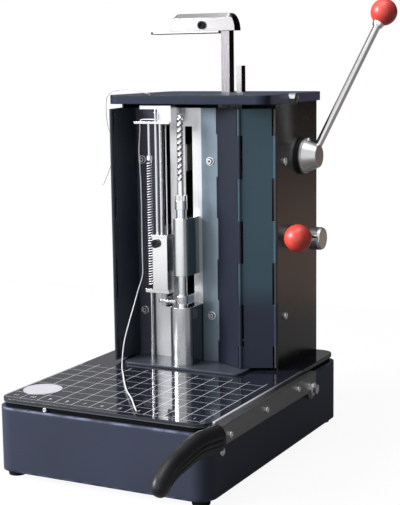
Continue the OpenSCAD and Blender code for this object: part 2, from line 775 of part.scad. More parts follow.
module shaft_bushes() {
  color([0.06, 0.06, 0.06]) {
    bush(1, feed_z, feed_journal_r, hub_r + 1.5);
    bush(-1, feed_z, feed_journal_r, feed_journal_r + 6);
    bush(1, needle_z, needle_journal_r, needle_journal_r + 6);
    bush(-1, needle_z, needle_journal_r, needle_journal_r + 6);
  }
}

// Carriage

module carriage_plate() {
  color([0.85, 0.86, 0.87]) difference() {
    span([left_line + 2, plate_y0, floor_z1], [right_line - 2, plate_y1, carriage_z1]);
    span([feed_rack_x - arm_w / 2 - slot_gap, plate_y0 - 1, slot_z0],
      [feed_rack_x + arm_w / 2 + slot_near, plate_y1 + 1, carriage_z1 - 25]);
    span([cover_x1, plate_y0 - 1, slot_z0],
      [needle_x + arm_w / 2 + slot_near, plate_y1 + 1, carriage_z1 - 22]);
    for (x = flange_screw_xs, z = flange_screw_zs)
      translate([x, plate_y0 - 1, z]) rotate([-90, 0, 0]) cylinder(h = plate_t + 2, r = screw_r);
  }
}

module carriage_flanges() {
  color([0.3, 0.34, 0.4]) difference() {
    union() {
      span([left_line, flange_y, floor_z1], [left_line + flange_w_left, plate_y0, carriage_z1]);
      span([left_line + 1, flange_y, block_z0 - flange_h], [cover_x1, plate_y0, carriage_z1]);
      span([right_line - flange_w_right, flange_y, floor_z1], [right_line, plate_y0, carriage_z1]);
      for (i = [1, 3, 5]) let (z = seg_z(i)) {
        span([left_line - tab_w, flange_y, z[0]], [left_line + eps, plate_y0, z[1]]);
        span([right_line - eps, flange_y, z[0]], [right_line + tab_w, plate_y0, z[1]]);
      }
    }
    for (x = flange_screw_xs, z = flange_screw_zs)
      translate([x, flange_y - 1, z]) rotate([-90, 0, 0]) cylinder(h = plate_t + 2, r = screw_r);
  }
}

module flange_screws() {
  color([0.8, 0.8, 0.82])
    for (x = flange_screw_xs, z = flange_screw_zs)
      translate([x, flange_y, z]) rotate([90, 0, 0]) {
        screw(r = 3.6, h = 2.8, shank = 2 * plate_t);
        difference() {
          cylinder(h = 1, r = 5.8);
          translate([0, 0, -1]) cylinder(h = 3, r = 3);
        }
      }
}

module floor_plate() {
  x0 = left_line + 1;
  x1 = right_line + floor_side;
  y0 = flange_y - floor_front;
  color([0.12, 0.13, 0.16]) difference() {
    translate([(x0 + x1) / 2, (y0 + plate_y1) / 2, floor_z0])
      linear_extrude(floor_t) round_rect(x1 - x0, plate_y1 - y0, 9);
    span([right_line, wall_y0 - 2 * slide_gap, floor_z0 - 1], [x1 + 1, plate_y1 + 1, floor_z1 + 1]);
  }
}

module carriage_bearings() {
  color([0.55, 0.55, 0.57]) for (x = [left_line + 14, right_line - 14], z = rail_zs)
    difference() {
      span([x - bearing_w / 2, plate_y1, z - bearing_s / 2],
        [x + bearing_w / 2, rail_y + bearing_s / 2, z + bearing_s / 2]);
      x_cyl(x - bearing_w, x + bearing_w, rail_y, z, rail_r + run_gap);
    }
}

// Pair of cheeks that carry a pinion behind the back plate
module cheeks(x, z) {
  for (side = [-1, 1])
    difference() {
      xm = x + side * (pinion_w / 2 + slide_gap + cheek_t / 2);
      span([xm - cheek_t / 2, plate_y1, z - 18], [xm + cheek_t / 2, shaft_y + 18, z + 18]);
      x_cyl(xm - cheek_t, xm + cheek_t, shaft_y, z, pinion_hub_r + run_gap);
    }
}

module pinion_carriers() {
  color([0.55, 0.55, 0.57]) {
    cheeks(feed_rack_x, feed_z);
    cheeks(needle_x, needle_z);
  }
}

// Needle unit

module guide_rod() {
  color([0.85, 0.86, 0.87]) {
    translate([rod_x, mech_y, floor_z1]) cylinder(h = rod_z1 - floor_z1, r = rod_r);
    translate([rod_x, mech_y, collar_z0]) cylinder(h = collar_h, r = collar_r);
  }
}

// Spring wire: straight ends square to the flange and the collar, coils between
spring_lead = 2 * wire_d;
spring_rise = spring_len - 2 * spring_lead;
spring_rings = 8;
function coil_at(i) = let (a = 360 * i / spring_rings)
  [rod_x + coil_r * cos(a), mech_y + coil_r * sin(a),
    block_z0 + spring_lead + spring_rise * i / (coils * spring_rings)];
spring_path = concat(
  [[rod_x + coil_r, mech_y, block_z0 + 0.05], [rod_x + coil_r, mech_y, block_z0 + wire_d]],
  [for (i = [0 : coils * spring_rings]) coil_at(i)],
  [[rod_x + coil_r, mech_y, collar_z0 - wire_d], [rod_x + coil_r, mech_y, collar_z0 - 0.05]]);
spring_gap = min([for (i = [0 : spring_rings]) norm(coil_at(i + spring_rings) - coil_at(i))]) - wire_d;
module return_spring() {
  echo(least_gap_between_spring_coils = spring_gap);
  color([0.8, 0.8, 0.82]) tube(spring_path, wire_d / 2, 6);
}

module needle_block() {
  color([0.82, 0.83, 0.84]) difference() {
    union() {
      span([block_x0, block_y0, block_z0], [block_x1, block_y0 + block_d, block_z1]);
      span([block_x0 - 1.5, block_y0 - 1, block_z1 - 3], [block_x1 + 1, block_y0 + block_d, block_z1]);
      span([flange_x0, block_y0 + 2, block_z0 - flange_h],
        [block_x1 + 0.5, block_y0 + block_d, block_z0 + eps]);
    }
    translate([rod_x, mech_y, block_z0 - flange_h - 1]) cylinder(h = flange_h + 2, r = rod_r + run_gap);
    for (side = [-1, 1]) translate([needle_x + side * needle_gap / 2, needle_y, block_z1 - 14])
      cylinder(h = 15, r = needle_r);
    translate([thread_hole_x, thread_y, block_z0 - flange_h - 1])
      cylinder(h = block_h + flange_h + 2, r = 1.5);
    translate([needle_x - 1, block_y0 - 1, block_z1 - 12]) rotate([-90, 0, 0])
      cylinder(h = screw_len + 1, r = screw_r);
  }
}

module block_screw() {
  color([0.05, 0.05, 0.05]) translate([needle_x - 1, block_y0, block_z1 - 12]) rotate([90, 0, 0])
    screw(r = 5.8, h = 4);
}

module needles() {
  color([0.85, 0.86, 0.87]) for (side = [-1, 1])
    translate([needle_x + side * needle_gap / 2, needle_y, block_z1 - 14]) {
      cylinder(h = needle_tip_z - block_z1 + 14 - 6, r = needle_r);
      translate([0, 0, needle_tip_z - block_z1 + 8 - eps]) cylinder(h = 6, r1 = needle_r, r2 = 0.5);
    }
}

// Guide plate under the top plate with its square block, strip and bar
module needle_guide() {
  z1 = top_under - 2.5;
  color([0.85, 0.86, 0.87]) difference() {
    union() {
      span([guide_x0, guide_y0, rod_z1], [guide_x1, plate_y0, rod_z1 + guide_t]);
      span([guide_x1 - 14, guide_y0 + 2, rod_z1 + guide_t - eps], [guide_x1 + 2, guide_y0 + 20, z1 + 0.5]);
      span([guide_x1 - 25, guide_y0 + 13, rod_z1 + guide_t - eps], [guide_x1 - 21, guide_y0 + 20, z1]);
      span([guide_x0 + 2, guide_y0 + 13, z1 - 5], [guide_x1 - 13, guide_y0 + 20, z1]);
    }
    for (side = [-1, 1]) translate([needle_x + side * needle_gap / 2, needle_y, rod_z1 - 1])
      cylinder(h = guide_t + 2, r = needle_r + run_gap);
    translate([thread_hole_x, thread_y, rod_z1 - 1]) cylinder(h = guide_t + 2, r = 1.5);
    span([guide_x1 - 15, thread_y - 1.5, rod_z1 + guide_t - 1],
      [thread_hole_x + 1.5, thread_y + 1.5, rod_z1 + guide_t + 6]);
    translate([guide_x0 + 3, thread_y, rod_z1 - 1]) cylinder(h = guide_t + 2, r = 1.5);
    span([guide_x0 - 1, flange_y - run_gap, rod_z1 - 1],
      [cover_x1 + run_gap, plate_y0 + 1, rod_z1 + guide_t + 1]);
  }
}

// Rack, arm through the back plate and plate behind the needle block
module needle_rack() {
  color([0.6, 0.6, 0.62]) {
    z0 = needle_arm_z1 - needle_arm_h;
    rack(needle_x, needle_z, z0, needle_z + 19);
    span([needle_x - arm_w / 2, block_y0 + block_d, z0],
      [needle_x + arm_w / 2, rack_y + tooth_ded + 1, needle_arm_z1]);
    span([needle_x - arm_w / 2, block_y0 + block_d, z0],
      [needle_x + arm_w / 2, block_y0 + block_d + 4, block_z0 + 26]);
  }
}

module needle_pinion() {
  color([0.7, 0.62, 0.35]) pinion(needle_x, needle_z, needle_hex);
}

module needle_shaft() {
  color([0.75, 0.75, 0.77]) {
    x_hex(-wall_x + 6, wall_x - 6, shaft_y, needle_z, needle_hex);
    x_cyl(-wall_x - bush_flange_t, -wall_x + 6 + eps, shaft_y, needle_z, needle_journal_r);
    x_cyl(wall_x - 6 - eps, needle_hub_x0 + 10, shaft_y, needle_z, needle_journal_r);
  }
}

// Direction of a lever rod: turned by lean in the plane of swing, tilted outwards by out
function lever_dir(lean, out) = [sin(out), cos(out) * sin(lean), cos(out) * cos(lean)];

// Rod from a point along a direction, with start and end distances
module rod_along(p, dir, from, to, r) {
  translate(p) rotate([0, acos(dir[2]), atan2(dir[1], dir[0])])
    translate([0, 0, from]) cylinder(h = to - from, r = r);
}

needle_hub_mid = [needle_hub_x0 + 11.5, shaft_y, needle_z];
needle_dir = lever_dir(needle_rise - 90, 0);
module needle_lever() {
  color([0.7, 0.7, 0.72]) difference() {
    union() {
      x_cyl(needle_hub_x0, needle_hub_x0 + needle_hub_len, shaft_y, needle_z, needle_hub_r);
      rod_along(needle_hub_mid, needle_dir, 5, needle_len - ball_r + 6, lever_r);
    }
    x_cyl(needle_hub_x0 - 1, needle_hub_x0 + 10, shaft_y, needle_z, needle_journal_r);
  }
}

module needle_knob() {
  color([0.85, 0.2, 0.17]) difference() {
    translate(needle_hub_mid + needle_len * needle_dir) sphere(ball_r);
    rod_along(needle_hub_mid, needle_dir, 5, needle_len - ball_r + 6, lever_r);
  }
}

// Drill

// Block with a round front about the drill's axis and flat sides back to a plane
module round_front(r, h, y1) {
  cylinder(h = h, r = r);
  translate([-r, 0, 0]) cube([2 * r, y1 - drill_y, h]);
}

module motor_housing() {
  color([0.85, 0.86, 0.87]) translate([drill_x, drill_y, floor_z1]) difference() {
    round_front(motor_r, motor_h, plate_y0);
    translate([0, 0, 3]) cylinder(h = motor_h - 3 - motor_lid, r = rotor_r + run_gap);
    translate([0, 0, 4]) cylinder(h = motor_h, r = spindle_r + 0.5);
  }
}

module motor_rotor() {
  color([0.6, 0.4, 0.25]) translate([drill_x, drill_y, rotor_z0]) difference() {
    cylinder(h = rotor_z1 - rotor_z0, r = rotor_r);
    translate([0, 0, -1]) cylinder(h = motor_h, r = spindle_r + run_gap);
  }
}

module spindle_guide() {
  color([0.75, 0.75, 0.77]) difference() {
    union() {
      translate([drill_x, drill_y, guide_z0]) round_front(guide_r, guide_h, plate_y0);
      span([needle_x + 4, drill_y - link_w / 2, guide_z0],
        [drill_x, drill_y + link_w / 2, guide_z0 + link_h]);
      translate([needle_x + 4, drill_y, guide_z0]) cylinder(h = link_h, r = link_w / 2 + 1);
    }
    translate([drill_x, drill_y, guide_z0 - 1]) cylinder(h = guide_h + 2, r = spindle_r + run_gap);
  }
}

module spindle() {
  color([0.8, 0.8, 0.82]) translate([drill_x, drill_y, 0]) {
    translate([0, 0, rotor_z0 + 1]) cylinder(h = quill_z0 + quill_lip - rotor_z0, r = spindle_r);
    translate([0, 0, quill_z0 + quill_lip + slide_gap])
      cylinder(h = chuck_z0 - quill_z0 - quill_lip - slide_gap, r = quill_bore);
    translate([0, 0, chuck_z0 - eps]) cylinder(h = nose_h, r = nose_r);
  }
}

module quill() {
  color([0.82, 0.83, 0.84]) translate([drill_x, drill_y, quill_z0]) difference() {
    round_front(quill_r, quill_h, plate_y0 - slide_gap);
    translate([0, 0, quill_lip]) cylinder(h = quill_h, r = quill_bore + run_gap);
    translate([0, 0, -1]) cylinder(h = quill_h, r = spindle_r + run_gap);
  }
}

module chuck() {
  color([0.75, 0.75, 0.77]) translate([drill_x, drill_y, chuck_z0]) difference() {
    union() {
      cylinder(h = chuck_h, r = chuck_r);
      translate([0, 0, chuck_h - eps]) cylinder(h = ring_h, r = ring_r);
    }
    translate([0, 0, -1]) cylinder(h = nose_h + 1, r = nose_r);
    translate([0, 0, chuck_h + ring_h - bit_seat]) cylinder(h = bit_seat + 1, r = bit_r);
    for (i = [0 : 9]) rotate([0, 0, 36 * i]) translate([ring_r, 0, chuck_h + ring_h - crown_h])
      cylinder(h = crown_h + 1, r = 1.4, $fn = 8);
  }
}

// Twist drill: shank, body with two helical flutes and a cone point
module drill_bit() {
  z0 = chuck_z0 + chuck_h + ring_h - bit_seat;
  zf = z0 + bit_seat + flute_start;
  zp = bit_tip_z - bit_point;
  color([0.82, 0.83, 0.84]) translate([drill_x, drill_y, 0]) {
    translate([0, 0, z0]) cylinder(h = zf - z0 + eps, r = bit_r);
    intersection() {
      translate([0, 0, zf]) linear_extrude(bit_tip_z - zf, twist = -360 * (bit_tip_z - zf) / flute_lead,
        slices = 64) difference() {
          circle(bit_r, $fn = 16);
          for (side = [-1, 1]) translate([side * bit_r * 0.86, 0]) circle(bit_r * 0.55, $fn = 12);
        }
      union() {
        translate([0, 0, zf]) cylinder(h = zp - zf, r = bit_r + 1, $fn = 24);
        translate([0, 0, zp - eps]) cylinder(h = bit_point, r1 = bit_r + 0.4, r2 = 0.1, $fn = 24);
      }
    }
  }
}

// Rack and arm that lift the quill
module feed_rack() {
  color([0.6, 0.6, 0.62]) {
    rack(feed_rack_x, feed_z, feed_arm_z0, feed_z + 7);
    span([feed_rack_x - arm_w / 2, plate_y0 - slide_gap, feed_arm_z0],
      [feed_rack_x + arm_w / 2, rack_y + tooth_ded + 1, feed_arm_z0 + feed_arm_h]);
  }
}

module feed_pinion() {
  color([0.7, 0.62, 0.35]) pinion(feed_rack_x, feed_z, feed_hex);
}

module feed_shaft() {
  color([0.75, 0.75, 0.77]) {
    x_hex(-wall_x + 6, wall_x - 6, shaft_y, feed_z, feed_hex);
    x_cyl(-wall_x - bush_flange_t, -wall_x + 6 + eps, shaft_y, feed_z, feed_journal_r);
    x_cyl(wall_x - 6 - eps, hub_x0 + 20, shaft_y, feed_z, feed_journal_r);
  }
}

feed_mid = [hub_x0 + 13, shaft_y, feed_z];
feed_dir = lever_dir(feed_lean, feed_out);
module feed_lever() {
  color([0.7, 0.7, 0.72]) difference() {
    union() {
      translate([hub_x0, shaft_y, feed_z]) rotate([0, 90, 0])
        cylinder(h = hub_len, r1 = hub_r, r2 = hub_nose_r);
      rod_along(feed_mid, feed_dir, 5, feed_len - ball_r + 6, lever_r);
    }
    x_cyl(hub_x0 - 1, hub_x0 + 20, shaft_y, feed_z, feed_journal_r);
  }
}

module feed_knob() {
  color([0.85, 0.2, 0.17]) difference() {
    translate(feed_mid + feed_len * feed_dir) sphere(ball_r);
    rod_along(feed_mid, feed_dir, 5, feed_len - ball_r + 6, lever_r);
  }
}

// Press

module press_post() {
  color([0.72, 0.7, 0.7])
    span([post_x - post_w / 2, post_y0, post_z0], [post_x + post_w / 2, post_y1, press_z0 + press_t]);
}

module press_arm() {
  r = 9;
  z0 = press_z0 + press_t;
  color([0.9, 0.9, 0.91]) difference() {
    translate([press_x1 - press_len, press_y0 + press_d, 0]) rotate([90, 0, 0]) linear_extrude(press_d)
      translate([0, z0]) {
        square([press_len, press_h - r]);
        translate([r, 0]) square([press_len - 2 * r, press_h]);
        for (x = [r, press_len - r]) translate([x, press_h - r]) circle(r);
      }
    translate([press_x1 - press_len / 2, press_y0 - 1, z0 + press_h / 3]) rotate([-90, 0, 0])
      cylinder(h = 8, r = screw_r);
  }
}

module press_plate() {
  x1 = post_x - post_w / 2 - 3;
  color([0.9, 0.9, 0.91])
    span([x1 - 110, press_y0, press_z0], [x1, press_y0 + press_d + 2, press_z0 + press_t]);
}

module press_screw() {
  color([0.05, 0.05, 0.05])
    translate([press_x1 - press_len / 2, press_y0, press_z0 + press_t + press_h / 3]) rotate([90, 0, 0])
      screw(r = 5.7, h = 3.5);
}

// Guide under the top plate with its short upright through the plate
module press_guide() {
  x0 = post_x - post_w / 2 - 6;
  color([0.85, 0.85, 0.87]) difference() {
    union() {
      span([x0, post_y0, top_under - 28], [upright_x0 + upright_w, col_y1 - wall_t, top_under]);
      span([upright_x0, post_y0, top_under - eps],
        [upright_x0 + upright_w, post_y0 + 13, top_z + upright_h]);
    }
    span([post_x - post_w / 2 - slide_gap, post_y0 - 1, top_under - 29],
      [post_x + post_w / 2 + slide_gap, post_y1 + slide_gap, top_z]);
  }
}

// Accordion covers

// Leaf along +x between two hinge lines; barrels of the listed segments at both lines
module leaf(near, far, far_pin) {
  difference() {
    union() {
      span([notch, -leaf_t / 2, 0], [leaf_w - (len(far) > 0 ? notch : 2.5), leaf_t / 2, leaf_h]);
      for (i = near) let (z = seg_z(i) - [leaf_z0, leaf_z0]) {
        span([0, -leaf_t / 2, z[0]], [notch + 1, leaf_t / 2, z[1]]);
        translate([0, 0, z[0]]) cylinder(h = z[1] - z[0], r = barrel_r);
      }
      for (i = far) let (z = seg_z(i) - [leaf_z0, leaf_z0]) {
        span([leaf_w - notch - 1, -leaf_t / 2, z[0]], [leaf_w, leaf_t / 2, z[1]]);
        translate([leaf_w, 0, z[0]]) cylinder(h = z[1] - z[0], r = barrel_r);
      }
      if (far_pin) translate([leaf_w, 0, 0]) cylinder(h = leaf_h, r = hinge_pin_r);
      if (len(far) == 0) for (i = [0, 2, 4, 6]) let (z = seg_z(i) - [leaf_z0, leaf_z0])
        span([leaf_w - 4, -leaf_t / 2, z[0]], [leaf_w, leaf_t / 2, z[1]]);
    }
    translate([0, 0, -1]) cylinder(h = leaf_h + 2, r = hinge_pin_r + run_gap);
  }
}

module outer_leaf() {
  leaf([1, 3, 5], [0, 2, 4, 6], true);
}

module inner_leaf() {
  leaf([1, 3, 5], [], false);
}

leaf_paint = [0.17, 0.21, 0.25];

module left_outer_leaf() {
  color(leaf_paint) translate([-hinge_x, hinge_y, leaf_z0]) rotate([0, 0, -left_turn]) outer_leaf();
}

module left_inner_leaf() {
  color(leaf_paint)
    translate([-hinge_x + leaf_w * cos(left_turn), hinge_y - leaf_w * sin(left_turn), leaf_z0])
      rotate([0, 0, left_turn]) inner_leaf();
}

module right_outer_leaf() {
  color(leaf_paint) translate([hinge_x, hinge_y, leaf_z0]) rotate([0, 0, 180 + right_turn]) outer_leaf();
}

module right_inner_leaf() {
  color(leaf_paint)
    translate([hinge_x - leaf_w * cos(right_turn), hinge_y - leaf_w * sin(right_turn), leaf_z0])
      rotate([0, 0, 180 - right_turn]) inner_leaf();
}

// Threads

module inner_thread() {
  color([0.93, 0.92, 0.88]) tube(smooth(inner_route, 2), thread_d / 2, 8, [0, 1, 0]);
}

module outer_thread() {
  color([0.93, 0.92, 0.88]) tube(smooth(outer_route, 2), thread_d / 2, 8, [0, 1, 0]);
}

base_shell();
bottom_plate();
rubber_feet();
body_screws();
table_plate();
badge_disc();
power_inlet();
fixed_blade();
cutter_arm();
cutter_blade();
cutter_screws();
cutter_handle();
pivot_bolt();
left_wall();
right_wall();
back_cover();
top_plate();
top_knob();
slide_rails();
shaft_bushes();
carriage_plate();
carriage_flanges();
flange_screws();
floor_plate();
carriage_bearings();
pinion_carriers();
guide_rod();
return_spring();
needle_block();
block_screw();
needles();
needle_guide();
needle_rack();
needle_pinion();
needle_shaft();
needle_lever();
needle_knob();
motor_housing();
motor_rotor();
spindle_guide();
spindle();
quill();
chuck();
drill_bit();
feed_rack();
feed_pinion();
feed_shaft();
feed_lever();
feed_knob();
press_post();
press_arm();
press_plate();
press_screw();
press_guide();
left_outer_leaf();
left_inner_leaf();
right_outer_leaf();
right_inner_leaf();
inner_thread();
outer_thread();
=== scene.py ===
from math import cos, pi, radians, sin

import bmesh
import bpy
import numpy as np
from mathutils import Matrix


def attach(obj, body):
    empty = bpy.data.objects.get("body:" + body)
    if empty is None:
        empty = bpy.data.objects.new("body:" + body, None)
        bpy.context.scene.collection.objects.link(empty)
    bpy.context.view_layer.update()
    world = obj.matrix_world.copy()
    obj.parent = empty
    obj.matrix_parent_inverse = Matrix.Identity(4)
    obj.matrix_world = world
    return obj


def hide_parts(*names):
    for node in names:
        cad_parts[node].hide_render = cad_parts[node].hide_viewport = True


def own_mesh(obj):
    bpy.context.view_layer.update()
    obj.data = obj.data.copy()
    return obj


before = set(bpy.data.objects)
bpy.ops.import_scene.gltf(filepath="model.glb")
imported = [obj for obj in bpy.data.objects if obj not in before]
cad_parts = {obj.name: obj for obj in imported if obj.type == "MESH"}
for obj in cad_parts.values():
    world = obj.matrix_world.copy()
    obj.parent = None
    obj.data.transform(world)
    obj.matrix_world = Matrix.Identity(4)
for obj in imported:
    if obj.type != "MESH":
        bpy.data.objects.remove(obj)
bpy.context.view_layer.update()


# Camera: stands to the front right of the machine, a little above its top plate, and looks slightly down.
# Its place, turn and lens were solved from the edges of the base, the column and the top plate.
def show(name, data):
    """An object in the scene from a mesh, a text, a lens or a lamp."""
    made = bpy.data.objects.new(name, data)
    bpy.context.scene.collection.objects.link(made)
    return made


def stand(thing, spot, right, up, back):
    """Puts a camera or a lamp on its spot and turns its own X, Y and Z to three directions."""
    turn = np.eye(4)
    turn[:3, :3] = np.stack([right, up, back], 1)
    turn[:3, 3] = spot
    thing.matrix_world = Matrix(turn.tolist())


yaw, pitch, roll = 0.478264, 0.152641, -0.013348
camera_spot = 0.78852, -1.45142, 0.51004
ahead = np.array([-sin(yaw) * cos(pitch), cos(yaw) * cos(pitch), -sin(pitch)])
level = np.array([cos(yaw), sin(yaw), 0.0])
above = np.cross(level, ahead)
right = cos(roll) * level + sin(roll) * above
up = cos(roll) * above - sin(roll) * level
lens = bpy.data.cameras.new("camera")
lens.sensor_fit = "VERTICAL"
lens.sensor_height = 36.0
lens.lens = 90.006
camera = show("camera", lens)
stand(camera, camera_spot, right, up, -ahead)
bpy.context.scene.camera = camera


# Binding threads: waxed white cotton of three plies, 1.6 mm thick, cut off at both ends.
# One runs from the needle block over the guide plate and down on the table and goes along with
# the carriage; the other comes out of the slot in the top plate and hangs over its left edge.
class Tone:
    """One value of a finish: a socket in its node tree. Sums, products and comparisons add Math nodes."""

    def __init__(self, tree, socket):
        self.tree, self.socket = tree, socket

    def node(self, kind, settings={}, sockets={}, out=0):
        """Adds a node of a kind, sets its settings, then the values or links of its sockets.
        Stops are the marks of a grey ramp. Gives one output."""
        made = self.tree.nodes.new("ShaderNode" + kind)
        for key, value in settings.items():
            if key == "stops":
                marks = made.color_ramp.elements
                marks.remove(marks[1])
                for mark, (at, grey) in zip([marks[0]] + [marks.new(at) for at, _ in value[1:]], value):
                    mark.position = at
                    mark.color = grey, grey, grey, 1
            else:
                setattr(made, key, value)
        for key, value in sockets.items():
            if isinstance(value, Tone):
                self.tree.links.new(value.socket, made.inputs[key])
            else:
                made.inputs[key].default_value = value
        return Tone(self.tree, made.outputs[out])

    def math(self, operation, *others):
        """The value worked on by itself, or with other values."""
        return self.node("Math", {"operation": operation}, dict(enumerate((self, *others))))

    def __add__(self, other):
        return self.math("ADD", other)

    def __sub__(self, other):
        return self.math("SUBTRACT", other)

    def __rsub__(self, other):
        return self.node("Math", {"operation": "SUBTRACT"}, {0: other, 1: self})

    def __mul__(self, other):
        return self.math("MULTIPLY", other)

    def __truediv__(self, other):
        return self.math("DIVIDE", other)

    def __lt__(self, other):
        return self.math("LESS_THAN", other)

    def __gt__(self, other):
        return self.math("GREATER_THAN", other)

    __radd__ = __add__
    __rmul__ = __mul__

    def ramp(self, low, high, first=0.0, last=1.0):
        """Runs smoothly from first to last as the value goes from low to high."""
        return self.node("MapRange", {"interpolation_type": "SMOOTHSTEP"},
                         {0: self, 1: low, 2: high, 3: first, 4: last})

    def mix(self, a, b):
        """Colour a where the value is 0, colour b where it is 1. Each is a tone, or red, green and blue."""
        a, b = (c if isinstance(c, Tone) else (*c, 1) for c in (a, b))
        return self.node("Mix", {"data_type": "RGBA"}, {0: self, 6: a, 7: b}, 2)

    def part(self, axis):
        """The X, Y or Z of a place."""
        return self.node("SeparateXYZ", {}, {0: self}, axis)

    def from_axis(self, x, y):
        """How far a place is from the upright axis through x and y."""
        flat = self.node("VectorMath", {"operation": "MULTIPLY"}, {0: self, 1: (1, 1, 0)})
        return self.node("VectorMath", {"operation": "DISTANCE"}, {0: flat, 1: (x, y, 0)}, 1)

    def soft_edges(self, radius, samples=4):
        """The normal of a piece with its edges rounded over."""
        return self.node("Bevel", {"samples": samples}, {"Radius": radius})

    def grain(self, scale, stretch=(1, 1, 1), detail=2.0):
        """Fine cloudy variation at a place, from 0 to 1, drawn out along the axes with a small stretch."""
        drawn = self.node("VectorMath", {"operation": "MULTIPLY"}, {0: self, 1: stretch})
        return self.node("TexNoise", {}, {"Vector": drawn, "Scale": scale, "Detail": detail})


def begin_finish(name, **fixed):
    """A finish with one shader. Fixed values go onto its sockets.
    Gives the finish, its shader and the places on the piece."""
    finish = bpy.data.materials.new(name)
    finish.use_nodes = True
    tree = finish.node_tree
    shader = tree.nodes["Principled BSDF"]
    for key, value in fixed.items():
        shader.inputs[key.replace("_", " ")].default_value = value
    place = Tone(tree, tree.nodes.new("ShaderNodeTexCoord").outputs["Object"])
    return finish, shader, place


def feed(shader, **tones):
    """Links tones to the shader's sockets."""
    for key, tone in tones.items():
        tone.tree.links.new(tone.socket, shader.inputs[key.replace("_", " ")])


def bump(height, strength, depth, under=None):
    """Normal of a surface with fine relief, on top of another normal if there is one."""
    sockets = {"Height": height, "Strength": strength, "Distance": depth}
    return height.node("Bump", {}, sockets | ({"Normal": under} if under else {}))


def skin(name, rings, finish, body, sharp=35):
    """Closed surface through rings of points (rows of an array, counter-clockwise about the way they go).
    Neighbouring rings are joined by quads, and the two ends are closed to their middles."""
    n, m = rings.shape[:2]
    k = np.arange(m)
    q = (k + 1) % m
    first = np.arange(n - 1)[:, None] * m
    faces = np.stack([first + k, first + q, first + m + q, first + m + k], -1).reshape(-1, 4).tolist()
    faces += np.stack([q, k, np.full(m, n * m)], -1).tolist()
    faces += np.stack([(n - 1) * m + k, (n - 1) * m + q, np.full(m, n * m + 1)], -1).tolist()
    points = np.vstack([rings.reshape(-1, 3), rings[0].mean(0), rings[-1].mean(0)])
    mesh = bpy.data.meshes.new(name)
    mesh.from_pydata(points.tolist(), [], faces)
    edit = bmesh.new()
    edit.from_mesh(mesh)
    bmesh.ops.remove_doubles(edit, verts=edit.verts, dist=2e-7)
    bmesh.ops.dissolve_degenerate(edit, edges=edit.edges, dist=1e-7)
    edit.to_mesh(mesh)
    edit.free()
    return dress(name, mesh, finish, body, sharp)


def dress(name, mesh, finish, body, sharp=35):
    """A piece from a mesh, smooth up to an angle, with its finish, riding on a body."""
    mesh.shade_smooth()
    mesh.set_sharp_from_angle(angle=radians(sharp))
    mesh.materials.append(finish)
    piece = show(name, mesh)
    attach(piece, body)
    return piece


def through(points, steps):
    """Smooth curve through points: on each stretch the cubic whose slope at a point is half the chord
    of its neighbours."""
    p = np.asarray(points, float)
    p = np.vstack([p[:1], p, p[-1:]])
    t = np.linspace(0, 1, steps, endpoint=False)[None, :, None]
    a, b, c, d = (p[k:len(p) - 3 + k, None] for k in range(4))
    square = 2 * a - 5 * b + 4 * c - d
    cube = 3 * b - a - 3 * c + d
    curve = 0.5 * (2 * b + (c - a) * t + square * t**2 + cube * t**3)
    return np.vstack([curve.reshape(-1, p.shape[1]), p[-1:]])


def even(path, pitch):
    """The same path with points a pitch apart, and the distance of each from its start."""
    far = np.r_[0, np.cumsum(np.linalg.norm(np.diff(path, axis=0), axis=1))]
    s = np.linspace(0, far[-1], int(far[-1] / pitch) + 2)
    return np.stack([np.interp(s, far, path[:, k]) for k in range(3)], 1), s


def unit(vectors):
    """The same directions with length 1."""
    return vectors / np.linalg.norm(vectors, axis=-1, keepdims=True)


def along(path, radius, side_on):
    """Rings round a path, with a radius for each point and angle a: centre + radius * (cos a * side
    + sin a * over), where side is square to the path and to side_on."""
    go = unit(np.gradient(path, axis=0))
    side = unit(np.cross(go, side_on))
    over = np.cross(go, side)
    a = np.linspace(0, 2 * pi, radius.shape[1], endpoint=False)[:, None]
    return path[:, None] + radius[..., None] * (np.cos(a) * side[:, None] + np.sin(a) * over[:, None])


cotton, shader, place = begin_finish("waxed_cotton", Roughness=0.62, Sheen_Weight=0.35)
strand = place.grain(2600, (1, 1, 0.5), 3.0)
feed(shader, Base_Color=strand.mix((0.80, 0.80, 0.83), (0.97, 0.97, 0.98)),
     Normal=bump(strand, 0.35, 0.0001))

thread_d, ply_depth, ply_lead = 0.0016, 0.12, 0.0042
point_gap = 0.0005
inner_route = np.array([
    [-37, 45, 262], [-37, 45, 292], [-37, 45, 332], [-37, 45, 372], [-37, 45, 407],
    [-37, 45, 423], [-38, 45, 428], [-43, 45, 429], [-55, 45, 429], [-68, 45, 429],
    [-75, 45, 428], [-77, 45, 423], [-77, 45, 412], [-79, 45, 387], [-78, 45, 362],
    [-77, 45, 332], [-77, 45, 292], [-77, 45, 242], [-77, 44, 214], [-79, 36, 196],
    [-81, 27, 176], [-83, 15, 152], [-83, 2, 130], [-82, -6, 110], [-80, -11, 98],
    [-76, -18, 94.6], [-60, -42, 94.1], [-36, -79, 94], [-13, -112, 94], [10, -140, 94],
    [28, -165, 94], [45, -188, 94]]) / 1000
outer_route = np.array([
    [-56, 42, 450], [-56, 41, 458], [-58, 39, 463], [-63, 36, 465], [-74, 34, 468],
    [-88, 34, 470], [-103, 33, 469], [-113, 31, 466], [-119, 30, 460], [-121, 30, 452],
    [-122, 31, 442], [-122, 32, 432], [-121, 33, 420], [-117, 34, 406], [-116, 34, 388],
    [-117, 34, 370], [-121, 34, 360], [-127, 34, 347], [-131, 34, 340], [-135, 34, 339]]) / 1000
